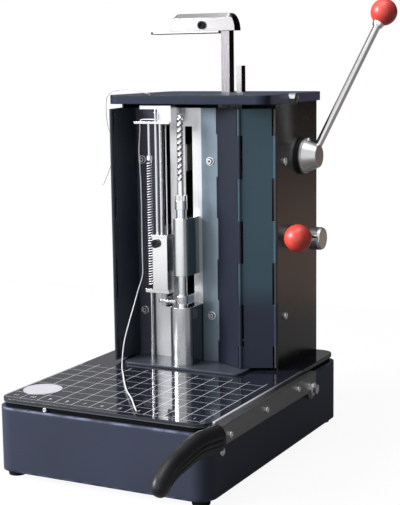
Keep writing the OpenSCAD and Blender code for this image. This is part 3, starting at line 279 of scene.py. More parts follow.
# Round the thread the radius swells by |cos(1.5 a)| for three plies, which wind round once in a ply lead.
for name, route, body in (("inner_cotton", inner_route, "carriage"),
                          ("outer_cotton", outer_route, "machine")):
    path, s = even(through(route, 8), point_gap)
    a = np.linspace(0, 2 * pi, 15, endpoint=False)
    plies = 1 - ply_depth + ply_depth * np.abs(np.cos(1.5 * (a - 2 * pi * s[:, None] / ply_lead)))
    thread = skin(name, along(path, thread_d / 2 * plies, [0, 1, 0]), cotton, body, sharp=80)
    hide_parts(name.replace("cotton", "thread"))


# Base: a box of sheet steel, bent round its corners and sprayed satin slate blue, on four rubber feet.
# The bottom plate is screwed in from below through the feet.
def flank(place, low, high):
    """1 on faces turned to the right or left, 0 on the others: the size of the X of the face's own
    direction, from low to high."""
    turned_x = place.node("NewGeometry", out="True Normal").part(0)
    return turned_x.math("ABSOLUTE").ramp(low, high)


def sheet_paint(name, colour, rough=0.42, edge=0.0025, shine=0.35, wear_and_highlight=0.25, low=None, wear_and_highlight_gain=3.2,
                reach=4.0, ends=None):
    """Satin spray paint: fine orange peel, slow change of tone, edges rounded over and lightened: a little
    wear, and a painted highlight along the edges where the gain and reach are large. With a low colour,
    the paint turns to it below the middle of the column. Ends, which look right and left, can have their
    own colour."""
    fade_low, fade_high = 0.17, 0.22
    finish, shader, place = begin_finish(name, Specular_IOR_Level=shine)
    peel = place.grain(620, detail=1.0)
    cloud = place.grain(9, detail=3.0)
    bend = place.soft_edges(edge, 6)
    flat = place.node("NewGeometry", out="Normal")
    lip = 1 - place.node("VectorMath", {"operation": "DOT_PRODUCT"}, {0: bend, 1: flat}, 1)
    # Lighter edges: a little wear, and a painted highlight where the gain and reach are large.
    wear_and_highlight_mask = (lip * reach).ramp(0.12, 0.9) * place.grain(70).ramp(0.35, 0.7) * wear_and_highlight
    dark, pale, wear_and_highlight_tone = (tuple(min(1, c * f) for c in colour) for f in (0.86, 1.12, wear_and_highlight_gain))
    tone = cloud.mix(dark, pale)
    tone = place.part(2).ramp(fade_low, fade_high).mix(low, tone) if low else tone
    tone = flank(place, 0.9, 0.97).mix(tone, ends) if ends else tone
    feed(shader, Base_Color=wear_and_highlight_mask.mix(tone, wear_and_highlight_tone),
         Roughness=rough + (cloud - 0.5) * 0.12 + (peel - 0.5) * 0.1,
         Normal=bump(peel, 0.22, 0.0002, bend))
    return finish


def coat(finish, *nodes):
    """Gives solids of the model a finish."""
    for node in nodes:
        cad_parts[node].material_slots[0].material = finish


# The base's edges are lightened strongly: a painted highlight along the rounded top edge and the corners,
# over a little wear.
slate = sheet_paint("slate_paint", (0.042, 0.050, 0.084), edge=0.005, shine=0.3, wear_and_highlight=0.95, wear_and_highlight_gain=5.0,
                    reach=14.0)
coat(slate, "base_shell")
under, shader, place = begin_finish("zinc_sheet", Metallic=0.7, Specular_IOR_Level=0.4)
spangle = place.grain(60, detail=4.0)
feed(shader, Base_Color=spangle.mix((0.05, 0.05, 0.055), (0.11, 0.11, 0.12)),
     Roughness=spangle.ramp(0.2, 0.8, 0.4, 0.62))
coat(under, "bottom_plate")
rubber, shader, place = begin_finish("foot_rubber", Specular_IOR_Level=0.25)
dust = place.grain(240, detail=4.0)
feed(shader, Base_Color=dust.mix((0.008, 0.008, 0.009), (0.024, 0.023, 0.022)),
     Roughness=dust.ramp(0.2, 0.8, 0.6, 0.85), Normal=bump(dust, 0.3, 0.0002))
coat(rubber, "rubber_feet")

# Power inlet: a black moulded socket for a mains lead, pressed into the back of the base.
# Its three flat pins stand inside it and are shown in the same black.
black_plastic, shader, place = begin_finish("black_plastic", Specular_IOR_Level=0.45)
sand = place.grain(1500, detail=2.0)
feed(shader, Base_Color=place.grain(40).mix((0.010, 0.011, 0.012), (0.017, 0.018, 0.020)),
     Roughness=sand.ramp(0.2, 0.8, 0.34, 0.5), Normal=bump(sand, 0.18, 0.0001))
coat(black_plastic, "power_inlet")

# Table: a plate in deep glossy blue-black stoving enamel, with a printed white inch grid. Its columns
# carry plain numbers, counted from the trimmer. A recessed band, held by a front screw, sets it off
# from the base. The band is painted near black and flat as painted shade, and the plate's edge faces
# are painted lighter, with a lighter line along their foot as a painted highlight.
band_top, table_top = 0.088, 0.093
grid_x, grid_y, grid_deep = -0.1455, -0.194, 0.1905
columns, pitch_x, line_w = 11, 0.0254, 0.0008
figure_size, figure_in = 0.0085, 0.0105
enamel, shader, place = begin_finish("table_enamel", Specular_IOR_Level=0.5, Coat_Roughness=0.05)
x, y, z = place.part(0), place.part(1), place.part(2)


def ruled(value, first, pitch, width):
    """1 on lines a pitch apart from first on: the distance to the nearest line is under half the width."""
    step = (value - first) / pitch + 0.5
    return (step.math("FRACT") - 0.5).math("ABSOLUTE") * pitch < width / 2


inside = (x > grid_x - line_w) * (x < grid_x + columns * pitch_x + line_w)
inside = inside * (y > grid_y - line_w) * (y < grid_y + grid_deep) * (z > table_top - 0.0001)
lines = ruled(x, grid_x, pitch_x, line_w).math("MAXIMUM", ruled(y, grid_y, pitch_x, line_w * 0.8))
lines = lines * inside * place.grain(180).ramp(0.2, 0.4, 0.75, 1.0)
smear = place.grain(14, detail=4.0)
# Painted light on the edge: the plate's front faces lighter than its top, a lighter lip at their foot as a
# painted highlight, and the recess below near black as painted shade.
rim = z.ramp(band_top + 0.0010, band_top + 0.0016).mix((0.115, 0.125, 0.155), (0.036, 0.041, 0.052))
rim = z.ramp(band_top - 0.0002, band_top + 0.0002).mix((0.002, 0.002, 0.003), rim)
gloss = smear.mix((0.010, 0.012, 0.022), (0.020, 0.022, 0.034))
enamelled = z.ramp(table_top - 0.0010, table_top - 0.0004).mix(rim, gloss)
painted_shade_band = z < band_top
feed(shader, Base_Color=lines.mix(enamelled, (0.72, 0.74, 0.78)),
     Roughness=smear.ramp(0.25, 0.8, 0.03, 0.09) + lines * 0.25 + painted_shade_band * 0.6,
     Coat_Weight=0.3 - painted_shade_band * 0.3,
     Metallic=painted_shade_band * 0.75,
     Normal=place.soft_edges(0.0015))
coat(enamel, "table_plate")

ink, shader, place = begin_finish("white_print", Roughness=0.5)
chalk = place.grain(900)
feed(shader, Base_Color=chalk.mix((0.60, 0.61, 0.65), (0.80, 0.81, 0.84)))
print_mesh = bmesh.new()
for count in range(1, columns + 1):
    text = bpy.data.curves.new("figure", "FONT")
    text.body = str(count)
    text.size = figure_size
    text.extrude = 0.00004
    text.resolution_u = 3
    text.align_x = "CENTER"
    text.align_y = "CENTER"
    shape = show("figure", text)
    flat = bpy.data.meshes.new_from_object(shape.evaluated_get(bpy.context.evaluated_depsgraph_get()))
    middle = grid_x + (columns + 0.5 - count) * pitch_x
    flat.transform(Matrix.Translation((middle, grid_y + figure_in, table_top + 0.00005)))
    print_mesh.from_mesh(flat)
    bpy.data.objects.remove(shape)
bmesh.ops.remove_doubles(print_mesh, verts=print_mesh.verts, dist=1e-7)
figures = bpy.data.meshes.new("column_numbers")
print_mesh.to_mesh(figures)
print_mesh.free()
dress("column_numbers", figures, ink, "machine")

# Badge: a thin disc of anodised aluminium stuck to the table, left bare.
# It is turned, so its face carries fine rings and a faint rim.
badge, shader, place = begin_finish("bare_badge", Metallic=0.25, Specular_IOR_Level=0.4)
badge_x, badge_y, rim_r = -0.117, -0.1475, 0.023
disc = place.from_axis(badge_x, badge_y)
rings = (disc * 9000.0).math("SINE")
rim = disc.ramp(rim_r - 0.0008, rim_r - 0.0002) - disc.ramp(rim_r + 0.0002, rim_r + 0.0008)
dull = rim * 0.6 + place.grain(110, detail=3.0) * 0.4
feed(shader, Base_Color=dull.mix((0.80, 0.77, 0.84), (0.62, 0.60, 0.68)),
     Roughness=place.grain(300).ramp(0.2, 0.8, 0.32, 0.5), Normal=bump(rings, 0.08, 0.00005))
coat(badge, "badge_disc")


# Trimmer: a steel arm that swings on a bolt at the back of the base's right side, with a ground blade
# screwed to its inner face, and a fixed blade let into the table's edge.
def ground_steel(name, dark, pale, rough, stretch, edge=0.0006, relief=0.03, cut=None, metal=1.0,
                 turn=(0.9, 0.97)):
    """Bare steel: grain drawn out along one axis in tone, gloss and relief, with narrow bright edges.
    With a cut colour, the underside and the ends are painted that dark colour as painted shade; the ends
    are the faces that are turned to the right or left by more than turn says. Blasted steel has less metal
    gloss."""
    finish, shader, place = begin_finish(name, Metallic=metal)
    scratch = place.grain(700, stretch, 3.0)
    haze = place.grain(18, detail=3.0)
    tone = (scratch * 0.6 + haze * 0.4).mix(dark, pale)
    if cut:
        painted_shade_faces = flank(place, *turn) + place.node("NewGeometry", out="True Normal").part(2).ramp(-0.5, -0.9)
        tone = painted_shade_faces.mix(tone, cut)
    feed(shader, Base_Color=tone,
         Roughness=rough + (scratch - 0.5) * 0.16 + (haze - 0.5) * 0.08,
         Normal=bump(scratch, relief, 0.00003, place.soft_edges(edge)))
    return finish


arm_steel = ground_steel("oiled_steel", (0.20, 0.20, 0.205), (0.36, 0.355, 0.35), 0.4, (1, 0.03, 1),
                         edge=0.0018)
blade_steel = ground_steel("ground_blade", (0.72, 0.73, 0.78), (0.92, 0.93, 0.97), 0.3, (1, 0.03, 1),
                           edge=0.0022)
coat(arm_steel, "cutter_arm")
coat(blade_steel, "cutter_blade")
# The fixed blade is painted bright towards its front as a painted highlight, with patchy wear, and dark
# towards the back.
highlit_blade, shader, place = begin_finish("highlit_blade", Metallic=0.35)
wear_and_highlight = place.part(1).ramp(0.02, -0.12) * place.grain(60, (1, 0.1, 1), 3.0).ramp(0.2, 0.6, 0.85, 1.0)
feed(shader, Base_Color=wear_and_highlight.mix((0.10, 0.10, 0.11), (0.86, 0.86, 0.92)),
     Roughness=wear_and_highlight.ramp(0, 1, 0.45, 0.3), Normal=place.soft_edges(0.0012))
coat(highlit_blade, "fixed_blade")
chrome, shader, place = begin_finish("chrome", Metallic=1.0)
mist = place.grain(25, detail=3.0)
feed(shader, Base_Color=mist.mix((0.78, 0.79, 0.82), (0.88, 0.89, 0.91)),
     Roughness=mist.ramp(0.3, 0.8, 0.07, 0.16) + place.grain(800) * 0.03)
coat(chrome, "pivot_bolt")
screw_zinc, shader, place = begin_finish("screw_zinc", Metallic=0.8)
bright = place.grain(160, detail=3.0)
feed(shader, Base_Color=bright.mix((0.84, 0.85, 0.86), (0.95, 0.95, 0.95)),
     Roughness=bright.ramp(0.2, 0.8, 0.2, 0.32), Normal=place.soft_edges(0.0024, 8))
coat(screw_zinc, "body_screws", "cutter_screws")

# Cutter handle: a black moulded grip on the end of the arm, oval, dipping to its rounded tip.
# Three grooves run along its outer side for the fingers.
grip_x, grip_y, grip_z = 0.15765, -0.200, 0.078
grip_len, grip_w, grip_h = 0.1397, 0.026, 0.034
tip_from, slimming = 0.85, 0.25
groove_from, groove_to = 0.06, 0.86
groove_cut, groove_half, groove_angles = 0.13, 0.08, (8, -14, -36)
# Ovals square to a smooth line through bends, which are shares of the length and mm of height. They close
# like an ellipse at the tip. Each groove is a bell curve about its angle and fades out at both ends.
bends = np.array([[0, 0], [0.12, 1], [0.37, 4.5], [0.6, 1], [0.8, -4], [0.93, -13], [1, -25]])
far, dip = bends.T
line = np.stack([np.full(len(bends), grip_x), grip_y - grip_len * far, grip_z + dip / 1000], 1)
line = through(line, 14)
s = np.linspace(0, 1, len(line))
tip = np.sqrt(np.clip(1 - ((s - tip_from) / (1 - tip_from)) ** 2, 0, 1))
size = np.where(s < tip_from, 1, tip) * (1 - slimming * s)
a = np.linspace(0, 2 * pi, 144, endpoint=False)
reach = np.clip((s - groove_from) / 0.06, 0, 1) * np.clip((groove_to - s) / 0.08, 0, 1)
off = [(a - radians(angle) + pi) % (2 * pi) - pi for angle in groove_angles]
groove = np.exp(-np.square(off) / groove_half**2).sum(0)
swell = 1 - groove_cut * reach[:, None] * groove
side = np.array([1, 0, 0])
over = np.cross(unit(np.gradient(line, axis=0)), side)
oval = grip_w / 2 * np.cos(a)[:, None] * side + grip_h / 2 * np.sin(a)[:, None] * over[:, None]
rings = line[:, None] + (size[:, None] * swell)[..., None] * oval
grip = skin("moulded_grip", rings, black_plastic, "cutter", sharp=60)
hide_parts("cutter_handle")

# Column: two bent side sheets and a back cover on the table, in dark satin paint.
# The front edges carry the hinge barrels of the folding covers; two round rails run inside.
wall_paint = sheet_paint("wall_paint", (0.030, 0.028, 0.028), rough=0.24, edge=0.0012, shine=0.6)
coat(wall_paint, "left_wall", "right_wall", "back_cover")
coat(chrome, "slide_rails")
bush_black, shader, place = begin_finish("bush_plastic", Specular_IOR_Level=0.4)
feed(shader, Base_Color=place.grain(60).mix((0.012, 0.013, 0.015), (0.022, 0.023, 0.026)),
     Roughness=place.grain(700).ramp(0.2, 0.8, 0.3, 0.45))
coat(bush_black, "shaft_bushes")

# Top plate: a thick slate-blue plate over the column with a slot for the bit and the needles.
# A small turned knob stands out of its right edge.
# The edges are lightened strongly as a painted highlight, and the right and left ends are painted light
# blue as a painted reflection.
top_paint = sheet_paint("top_paint", (0.023, 0.031, 0.056), rough=0.4, edge=0.0022, shine=0.15, wear_and_highlight=0.6,
                        reach=9.0, ends=(0.160, 0.175, 0.300))
coat(top_paint, "top_plate")
coat(chrome, "top_knob")

# Carriage: a stainless back plate with two painted flanges at its edges, on a floor plate.
# It slides sideways on the rails and carries the drill and the needles.
stainless = ground_steel("stainless", (0.84, 0.85, 0.87), (0.93, 0.94, 0.96), 0.32, (1, 1, 0.02),
                         relief=0.0, metal=0.5)
flange_paint, shader, place = begin_finish("flange_paint", Metallic=0.4, Specular_IOR_Level=0.35)
cloud = place.grain(30, detail=3.0)
# The left flange is painted dark slate as painted shade; the right one is blue-grey.
right_side = place.part(0).ramp(-0.05, -0.02)
painted_shade_slate = cloud.mix((0.080, 0.082, 0.118), (0.100, 0.103, 0.145))
bluish = cloud.mix((0.225, 0.290, 0.355), (0.265, 0.335, 0.405))
feed(shader, Base_Color=right_side.mix(painted_shade_slate, bluish),
     Roughness=cloud.ramp(0.2, 0.8, 0.34, 0.46), Normal=place.soft_edges(0.0012))
floor_paint = sheet_paint("floor_paint", (0.050, 0.058, 0.080), rough=0.3, edge=0.0012)
coat(stainless, "carriage_plate")
coat(flange_paint, "carriage_flanges")
coat(floor_paint, "floor_plate")
bolt_zinc, shader, place = begin_finish("bolt_zinc", Metallic=0.7)
bolt_mid_x, bolt_mid_z = -0.03315, 0.2665
bolt_apart_x, bolt_apart_z = 0.05265, 0.106
apart_x = (place.part(0) - bolt_mid_x).math("ABSOLUTE") - bolt_apart_x
apart_z = (place.part(2) - bolt_mid_z).math("ABSOLUTE") - bolt_apart_z
spread = (apart_x * apart_x + apart_z * apart_z).math("SQRT")
# Painted shade: a dark ring between each screw head and its washer, and a dark socket in the middle.
shade = spread.ramp(0.0030, 0.0034) - spread.ramp(0.0042, 0.0046) + spread.ramp(0.0018, 0.0013)
feed(shader, Base_Color=shade.mix((0.93, 0.93, 0.95), (0.02, 0.02, 0.025)),
     Roughness=place.grain(200).ramp(0.2, 0.8, 0.22, 0.36), Normal=place.soft_edges(0.0008))
coat(bolt_zinc, "flange_screws")
cast, shader, place = begin_finish("cast_aluminium", Metallic=1.0)
grit = place.grain(420, detail=4.0)
feed(shader, Base_Color=grit.mix((0.40, 0.40, 0.41), (0.60, 0.60, 0.61)),
     Roughness=grit.ramp(0.2, 0.8, 0.36, 0.55), Normal=bump(grit, 0.2, 0.0001))
coat(cast, "carriage_bearings", "pinion_carriers")

# Needle unit: a bright block with two needles, a black clamp screw and a rack at its back.
# It runs on a thin rod, pushed down by a wound spring under a collar.
needle_steel = ground_steel("needle_steel", (0.84, 0.84, 0.86), (0.94, 0.94, 0.96), 0.2, (1, 1, 0.03),
                            relief=0.01)
coat(needle_steel, "needle_block", "needle_guide")
coat(chrome, "needles")
dark_steel = ground_steel("black_oxide", (0.02, 0.02, 0.022), (0.05, 0.05, 0.055), 0.34, (1, 1, 1))
coat(dark_steel, "block_screw")
rack_steel = ground_steel("rack_steel", (0.36, 0.36, 0.37), (0.52, 0.52, 0.53), 0.34, (1, 1, 0.05))
coat(rack_steel, "needle_rack", "feed_rack")
gear_bronze = ground_steel("gear_bronze", (0.42, 0.30, 0.14), (0.60, 0.45, 0.22), 0.34, (0.05, 1, 1))
coat(gear_bronze, "needle_pinion", "feed_pinion")
shaft_steel = ground_steel("shaft_steel", (0.55, 0.55, 0.57), (0.75, 0.75, 0.77), 0.26, (0.03, 1, 1))
coat(shaft_steel, "needle_shaft", "feed_shaft")

rod_x, mech_y = -0.0625, 0.0435
spring_low, spring_high, seat_gap = 0.1972, 0.374, 0.00005
coils, coil_r, wire_d = 48, 0.0032, 0.0016
# A helix that rises evenly, with a short upright end below and above, and rings of wire square to it.
wind = np.linspace(0, 2 * pi * coils, coils * 28 + 1)
lead = 2 * wire_d
rise = spring_low + lead + (spring_high - spring_low - 2 * lead) * wind / wind[-1]
helix = np.stack([rod_x + coil_r * np.cos(wind), mech_y + coil_r * np.sin(wind), rise], 1)
foot = helix[[0, 0]] + [[0, 0, seat_gap - lead], [0, 0, wire_d - lead]]
head = helix[[-1, -1]] + [[0, 0, lead - wire_d], [0, 0, lead - seat_gap]]
coil = np.vstack([foot, helix, head])
turned_by = np.r_[0, 0, wind, 0, 0]
out = np.stack([np.cos(turned_by), np.sin(turned_by), np.zeros(len(coil))], 1)
lean = np.cross(out, np.gradient(coil, axis=0))
rings = along(coil, np.full((len(coil), 10), wire_d / 2), lean)
spring_wire = ground_steel("spring_wire", (0.86, 0.86, 0.88), (0.95, 0.95, 0.97), 0.3, (1, 1, 1),
                           metal=0.45)
# The rod is painted near black along the spring's length, as painted shade between the coils.
rod_steel, shader, place = begin_finish("rod_steel", Metallic=1.0)
height = place.part(2)
painted_shade_in_spring = height.ramp(spring_low - 0.002, spring_low) * height.ramp(spring_high, spring_high - 0.002)
feed(shader, Base_Color=painted_shade_in_spring.mix((0.86, 0.86, 0.88), (0.03, 0.03, 0.035)),
     Roughness=place.grain(400, (1, 1, 0.05)).ramp(0.2, 0.8, 0.12, 0.26))
coat(rod_steel, "guide_rod")
spring = skin("wound_spring", rings, spring_wire, "carriage", sharp=80)
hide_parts("return_spring")
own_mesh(spring)

# Drill unit: motor, guide collar and quill are chromed blocks with round fronts, one above the other on
# the bit's axis. The quill rises on its rack; the chuck's notched ring holds a twist drill.
drill_x, drill_y = -0.0112, 0.0375


def rounded(profile, radius):
    """Outline with its inner corners rounded: each corner P between A and B, a radius away on both sides,
    becomes (1-t)^2 A + 2t(1-t) P + t^2 B, with one more point beyond A and B to keep the flats flat."""
    profile = np.asarray(profile, float)
    corner = profile[1:-1]

    def toward(neighbour):
        away = neighbour - corner
        length = np.linalg.norm(away, axis=1, keepdims=True)
        return away / length * np.minimum(radius, 0.4 * length)

    back, fore = toward(profile[:-2]), toward(profile[2:])
    a, b = corner + back, corner + fore
    t = np.linspace(0, 1, 5)[None, :, None]
    arc = (1 - t) ** 2 * a[:, None] + 2 * t * (1 - t) * corner[:, None] + t**2 * b[:, None]
    arc = np.concatenate([(a + back * 0.2)[:, None], arc, (b + fore * 0.2)[:, None]], 1)
    return np.vstack([profile[:1], arc.reshape(-1, 2), profile[-1:]])


def turned(profile, centre, axis, sides=96):
    """Rings of a lathe shape: a profile of (radius, height) turned about an axis through a centre."""
    r, h = np.asarray(profile, float).T
    axis = unit(np.asarray(axis, float))
    one = np.cross(axis, [0, 1, 0] if abs(axis[1]) < 0.9 else [1, 0, 0])
    one = unit(-np.cross(axis, one) if abs(axis[2]) > 0.99 else one)
    two = np.cross(axis, one)
    a = np.linspace(0, 2 * pi, sides, endpoint=False)[:, None]
    spokes = np.cos(a) * one + np.sin(a) * two
    return np.asarray(centre, float) + h[:, None, None] * axis + r[:, None, None] * spokes


def lathe_chrome(name, dark, pale, rough, edge, flats=0.0):
    """Chromed steel: fine tool marks along its height in gloss and relief, and edges broken a little.
    Flats are sides that look right or left; they are painted darker as painted shade, by the share flats
    gives."""
    finish, shader, place = begin_finish(name, Metallic=1.0)
    tool = place.grain(1500, (0.004, 0.004, 1), 3.0)
    mist = place.grain(30, detail=3.0)
    painted_dark_flats = flank(place, 0.975, 0.998) * flats
    feed(shader, Base_Color=painted_dark_flats.mix(mist.mix(dark, pale), (0.12, 0.145, 0.165)),
         Roughness=rough + (tool - 0.5) * 0.1,
         Normal=bump(tool, 0.05, 0.00004, place.soft_edges(edge)))
    return finish


# The flat right and left sides of the motor, quill and spindle are painted dark as painted shade.
bright_turned = lathe_chrome("bright_turned", (0.74, 0.76, 0.79), (0.86, 0.88, 0.90), 0.2, 0.0012, 1.0)
coat(bright_turned, "motor_housing", "quill", "spindle")
collar_chrome = lathe_chrome("collar_chrome", (0.66, 0.67, 0.70), (0.84, 0.85, 0.87), 0.14, 0.003)
coat(collar_chrome, "spindle_guide")
chuck_chrome = lathe_chrome("chuck_chrome", (0.70, 0.71, 0.74), (0.88, 0.89, 0.91), 0.14, 0.0006)
coat(chuck_chrome, "chuck")
coat(gear_bronze, "motor_rotor")

bit_r, bit_low, bit_tip, point = 0.0045, 0.3163, 0.4363, 0.005
flute_low, flute_lead, run_in = 0.3443, 0.016, 0.006
flute_half, flute_cut, heel_cut = 0.62, 0.50, 0.04
# The radius by height and angle: two half-round flutes wind round once in a flute lead, the ground heels
# lie a little under the lands beside them, and the end tapers straight to its point.
z = np.r_[bit_low, np.linspace(flute_low - 0.001, bit_tip - point, 260),
          np.linspace(bit_tip - point, bit_tip, 14)[1:]]
a = np.linspace(0, 2 * pi, 90, endpoint=False)
turned_by = a - 2 * pi * (z[:, None] - flute_low) / flute_lead
off = np.abs((turned_by + pi / 2) % pi - pi / 2)
depth = np.clip((z - flute_low) / run_in, 0, 1)[:, None]
flute = np.clip(1 - (off / flute_half) ** 2, 0, 1) ** 0.5
heel = np.clip((off - 0.9) / 0.12, 0, 1)
cut = flute_cut * flute + heel_cut * heel
taper = np.clip((bit_tip - z) / point, 0.02, 1)[:, None]
r = bit_r * (1 - depth * cut) * taper
high = np.broadcast_to(z[:, None], r.shape)
rings = np.stack([drill_x + r * np.cos(a), drill_y + r * np.sin(a), high], -1)
# The flutes are painted dark as painted shade; the lands and the point are bright.
bit_steel, shader, place = begin_finish("drill_steel", Metallic=1.0)
outer = place.from_axis(drill_x, drill_y).ramp(bit_r * 0.7, bit_r * 0.94)
land = outer.math("MAXIMUM", place.part(2) > bit_tip - point)
feed(shader, Base_Color=land.mix((0.36, 0.34, 0.37), (0.92, 0.92, 0.94)),
     Roughness=place.grain(900).ramp(0.2, 0.8, 0.14, 0.26))
bit = skin("twist_drill", rings, bit_steel, "drill", sharp=30)
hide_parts("drill_bit")

# Levers: turned hubs on the ends of the two shafts, with chromed rods and red phenolic balls.
# The longer lever feeds the drill up; the short one lifts the needles.
red, shader, place = begin_finish("red_phenolic", Specular_IOR_Level=0.5, Coat_Weight=0.25,
                                  Coat_Roughness=0.2)
swirl = place.grain(45, detail=3.0)
feed(shader, Base_Color=swirl.mix((0.76, 0.062, 0.046), (0.84, 0.085, 0.065)),
     Roughness=swirl.ramp(0.3, 0.7, 0.3, 0.42))
coat(red, "feed_knob", "needle_knob")
hub_metal = ground_steel("hub_metal", (0.54, 0.55, 0.56), (0.68, 0.69, 0.70), 0.34, (1, 0.3, 0.3),
                         edge=0.0004, relief=0.01)
rod_chrome = ground_steel("rod_chrome", (0.70, 0.70, 0.72), (0.82, 0.82, 0.84), 0.12, (1, 1, 1),
                          edge=0.0003)
shaft_y, ball_r, rod_r = 0.150, 0.0185, 0.0052
rod_from, rod_in_ball = 0.006, 0.003
ferrule_out, ferrule_len = 0.0045, 0.0055
screw_r, screw_h = 0.0026, 0.0042
# For each lever: where its hub starts along the shaft, the hub's outline in mm, where the rod's axis starts
# and which way it goes, how far out the ball's middle is, and whether a set screw stands on the hub.
for kind, hub_at, outline, middle, way_out, reach, set_screw in (
        ("feed", 0.1211, [[0, 0], [24, 0], [24, 3.2], [23.2, 3.7], [22.6, 4.2], [15, 22.5], [0, 22.5]],
         (0.1341, shaft_y, 0.376), (0.2907, 0.4284, 0.8555), 0.2267, True),
        ("needle", 0.131, [[0, 0], [15.8, 0], [15.8, 14.8], [14.2, 18.5], [0, 18.5]],
         (0.1425, shaft_y, 0.263), (0, -0.9907, 0.1357), 0.0737, False)):
    body = kind + "_handle"
    profile = rounded(np.array(outline) / 1000, 0.0009)
    hub = skin(kind + "_hub", turned(profile, (hub_at, shaft_y, middle[2]), (1, 0, 0)),
               hub_metal, body)
    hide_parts(kind + "_lever")
    stop = reach - ball_r + rod_in_ball
    rod = [[0, rod_from], [rod_r, rod_from], [rod_r, stop], [0, stop]]
    skin(kind + "_rod", turned(rod, middle, way_out, 48), rod_chrome, body)
    low = reach - ball_r - ferrule_out
    high = low + ferrule_len
    ferrule = rounded([[0, low], [0.0068, low], [0.0074, low + 0.002], [0.0086, high], [0, high]], 0.0006)
    skin(kind + "_ferrule", turned(ferrule, middle, way_out, 64), chrome, body)
    if set_screw:
        cap = rounded([[0, 0], [screw_r, 0], [screw_r, screw_h], [0, screw_h + 0.0004]], 0.0006)
        skin("hub_set_screw", turned(cap, (hub_at + 0.006, shaft_y, middle[2] + 0.0205), (0, 0, 1), 32),
             chrome, body)

# Press: a square post that slides in a guide under the top plate, with a bright arm and a thin plate
# on its head that holds the paper down. The arm's ends fall in quarter ellipses and its upper front edge
# is cut off at a slant. A black screw clamps it.
# The post, the arm and the guide are painted near black on their undersides and on the faces turned right
# or left, as painted shade.
post_metal = ground_steel("post_aluminium", (0.30, 0.28, 0.30), (0.50, 0.47, 0.50), 0.26, (1, 1, 0.05),
                          relief=0.01, cut=(0.05, 0.045, 0.05))
coat(post_metal, "press_post")
press_steel = ground_steel("press_steel", (0.50, 0.49, 0.50), (0.56, 0.55, 0.56), 0.24, (0.03, 1, 1),
                           edge=0.001, relief=0.01, cut=(0.03, 0.028, 0.032), turn=(0.3, 0.5))
box = np.array(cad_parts["press_arm"].bound_box)
low, high = box.min(0), box.max(0)
left_end, right_end, shoulder = 0.011, 0.014, 0.0065
# Three outlines from front to back. At each end the height falls by cos a while the outline moves out by
# sin a, and the front one stops a shoulder lower.
a = np.linspace(0, pi / 2, 25)
rise = low[2] + (high[2] - low[2]) * np.cos(a)
outline = np.vstack([np.stack([high[0] - right_end * (1 - np.sin(a)), rise], 1),
                     np.stack([low[0] + left_end * (1 - np.sin(a)), rise], 1)[::-1]])
edges = (low[1], high[2] - shoulder), (low[1] + shoulder, high[2]), (high[1], high[2])
rings = np.stack([np.stack([outline[:, 0], np.full(len(outline), deep), np.minimum(outline[:, 1], top)], 1)
                  for deep, top in edges])
arm = skin("formed_arm", rings, press_steel, "press", sharp=30)
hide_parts("press_arm")
thin_steel = ground_steel("thin_steel", (0.56, 0.55, 0.56), (0.66, 0.65, 0.66), 0.24, (0.03, 1, 1),
                          relief=0.01, cut=(0.05, 0.045, 0.05))
coat(thin_steel, "press_guide")
# A dark line is painted along the plate's lower edge and its left end, as painted shade.
plate_steel, shader, place = begin_finish("plate_steel", Metallic=1.0)
drawn = place.grain(700, (0.03, 1, 1), 3.0)
shade_line_z, shade_line_x = 0.5461, -0.1310
painted_shade_edges = place.part(2).ramp(shade_line_z + 0.0002, shade_line_z - 0.0002)
painted_shade_edges = painted_shade_edges + place.part(0).ramp(shade_line_x + 0.0005, shade_line_x - 0.0005)
feed(shader, Base_Color=painted_shade_edges.mix(drawn.mix((0.56, 0.55, 0.56), (0.66, 0.65, 0.66)), (0.02, 0.02, 0.024)),
     Roughness=drawn.ramp(0, 1, 0.18, 0.32))
coat(plate_steel, "press_plate")
black_steel = ground_steel("black_steel", (0.006, 0.006, 0.009), (0.014, 0.014, 0.018), 0.35, (1, 1, 1),
                           edge=0.0014)
coat(black_steel, "press_screw")

# Folding covers: four painted sheet leaves, hinged in pairs between the column and the carriage.
# They fold like an accordion as the carriage moves.
# The four leaves stand for one paint in tones of painted light and shade: the left pair darkest as painted
# shade, the right inner one navy and the right outer one teal. Their edges are lightened as a painted
# highlight along the hinge lines.
leaf_paint = sheet_paint("leaf_paint", (0.022, 0.030, 0.044), rough=0.4, edge=0.0008, wear_and_highlight=0.9)
coat(leaf_paint, "left_outer_leaf", "left_inner_leaf")
navy_paint = sheet_paint("navy_paint", (0.011, 0.015, 0.030), rough=0.4, edge=0.0008, wear_and_highlight=0.9)
coat(navy_paint, "right_inner_leaf")
# The right outer leaf turns navy low down, as painted shade.
teal_paint = sheet_paint("teal_paint", (0.045, 0.088, 0.120), rough=0.4, edge=0.0008, wear_and_highlight=0.9,
                         low=(0.022, 0.030, 0.055))
coat(teal_paint, "right_outer_leaf")

# Studio: a plain white floor and background, a soft key light from the front left and a soft sky.
# The room is bright on the left and dark on the right, with a warm strip low down, as the chrome shows.
floor_z = -0.008
corners = [(-1, -1, floor_z), (1, -1, floor_z), (1, 1, floor_z), (-1, 1, floor_z)]
floor_mesh = bpy.data.meshes.new("studio_floor")
floor_mesh.from_pydata(corners, [], [(0, 1, 2, 3)])
floor = show("studio_floor", floor_mesh)
ground, shader, place = begin_finish("studio_white", Roughness=0.9, Specular_IOR_Level=0.0)
looked_at = place.node("LightPath", out="Is Camera Ray")
feed(shader, Base_Color=looked_at.mix((0.22, 0.22, 0.22), (0.95, 0.95, 0.95)))
looked_through = place.node("LightPath", out="Is Transmission Ray")
mirrored = place.node("LightPath", out="Is Glossy Ray")
seen = looked_at * 0.93 + looked_through * 0.93 + mirrored * 0.04
glow = place.node("Emission", {}, {"Color": (1, 1, 1, 1), "Strength": 1.0})
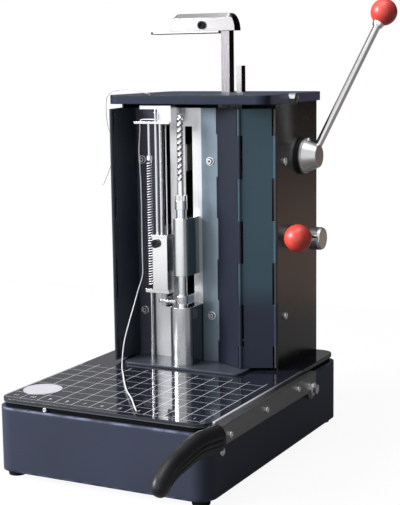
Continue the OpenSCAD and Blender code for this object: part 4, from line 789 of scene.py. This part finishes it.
both = place.node("MixShader", {}, {0: seen, 1: Tone(place.tree, shader.outputs[0]), 2: glow})
place.tree.links.new(both.socket, place.tree.nodes["Material Output"].inputs[0])
floor_mesh.materials.append(ground)

world = bpy.data.worlds.new("studio")
world.use_nodes = True
bpy.context.scene.world = world
sky = world.node_tree
way = Tone(sky, sky.nodes.new("ShaderNodeTexCoord").outputs["Generated"])
x, y, z = way.part(0), way.part(1), way.part(2)
facing = radians(27.4)
across = x * cos(facing) + y * sin(facing)
nearer = x * sin(facing) - y * cos(facing)
round_about = across.math("ARCTAN2", nearer) / (2 * pi) + 0.5
walls = round_about.node("ValToRGB", {"stops": [
    (0.0, 0.30), (0.20, 0.28), (0.255, 0.28), (0.272, 1.1), (0.556, 1.1), (0.583, 0.30), (0.764, 0.22),
    (0.79, 0.012), (0.97, 0.012), (0.99, 0.30)]}, {0: round_about})
strip = (round_about > 0.78) * (round_about < 0.97) * z.ramp(-0.080, -0.098)
ceiling = z.ramp(0.5, 0.9)
behind = ((round_about < 0.2) + (round_about > 0.97)) * z.ramp(0.10, 0.03)
room = walls * (1 - ceiling) * (1 - behind * 0.9) + ceiling * 0.6 + strip * 0.42
left = x.ramp(0.4, -0.6)
white = way.node("LightPath", out="Is Camera Ray")
gloss = way.node("LightPath", out="Is Glossy Ray")
strength = white + (1 - white) * (gloss * room + (1 - gloss) * (0.05 + 0.50 * left))
sky.links.new(strength.socket, sky.nodes["Background"].inputs["Strength"])
tint = (strip * (1 - white)).mix((1, 1, 1), (1.0, 0.74, 0.62))
sky.links.new(tint.socket, sky.nodes["Background"].inputs["Color"])

for name, spot, aim, size, power in (("key", (-2.3, -2.0, 1.7), (0, 0, 0.25), 1.5, 170),
                                     ("top", (0.1, -0.3, 2.2), (0, 0, 0.2), 1.4, 18)):
    lamp = bpy.data.lights.new(name, "AREA")
    lamp.size = size
    lamp.energy = power
    back = unit(np.array(spot, float) - aim)
    side = unit(np.cross([0, 0, 1], back))
    stand(show(name, lamp), spot, side, np.cross(back, side), back)

bpy.context.scene.view_settings.view_transform = "Standard"
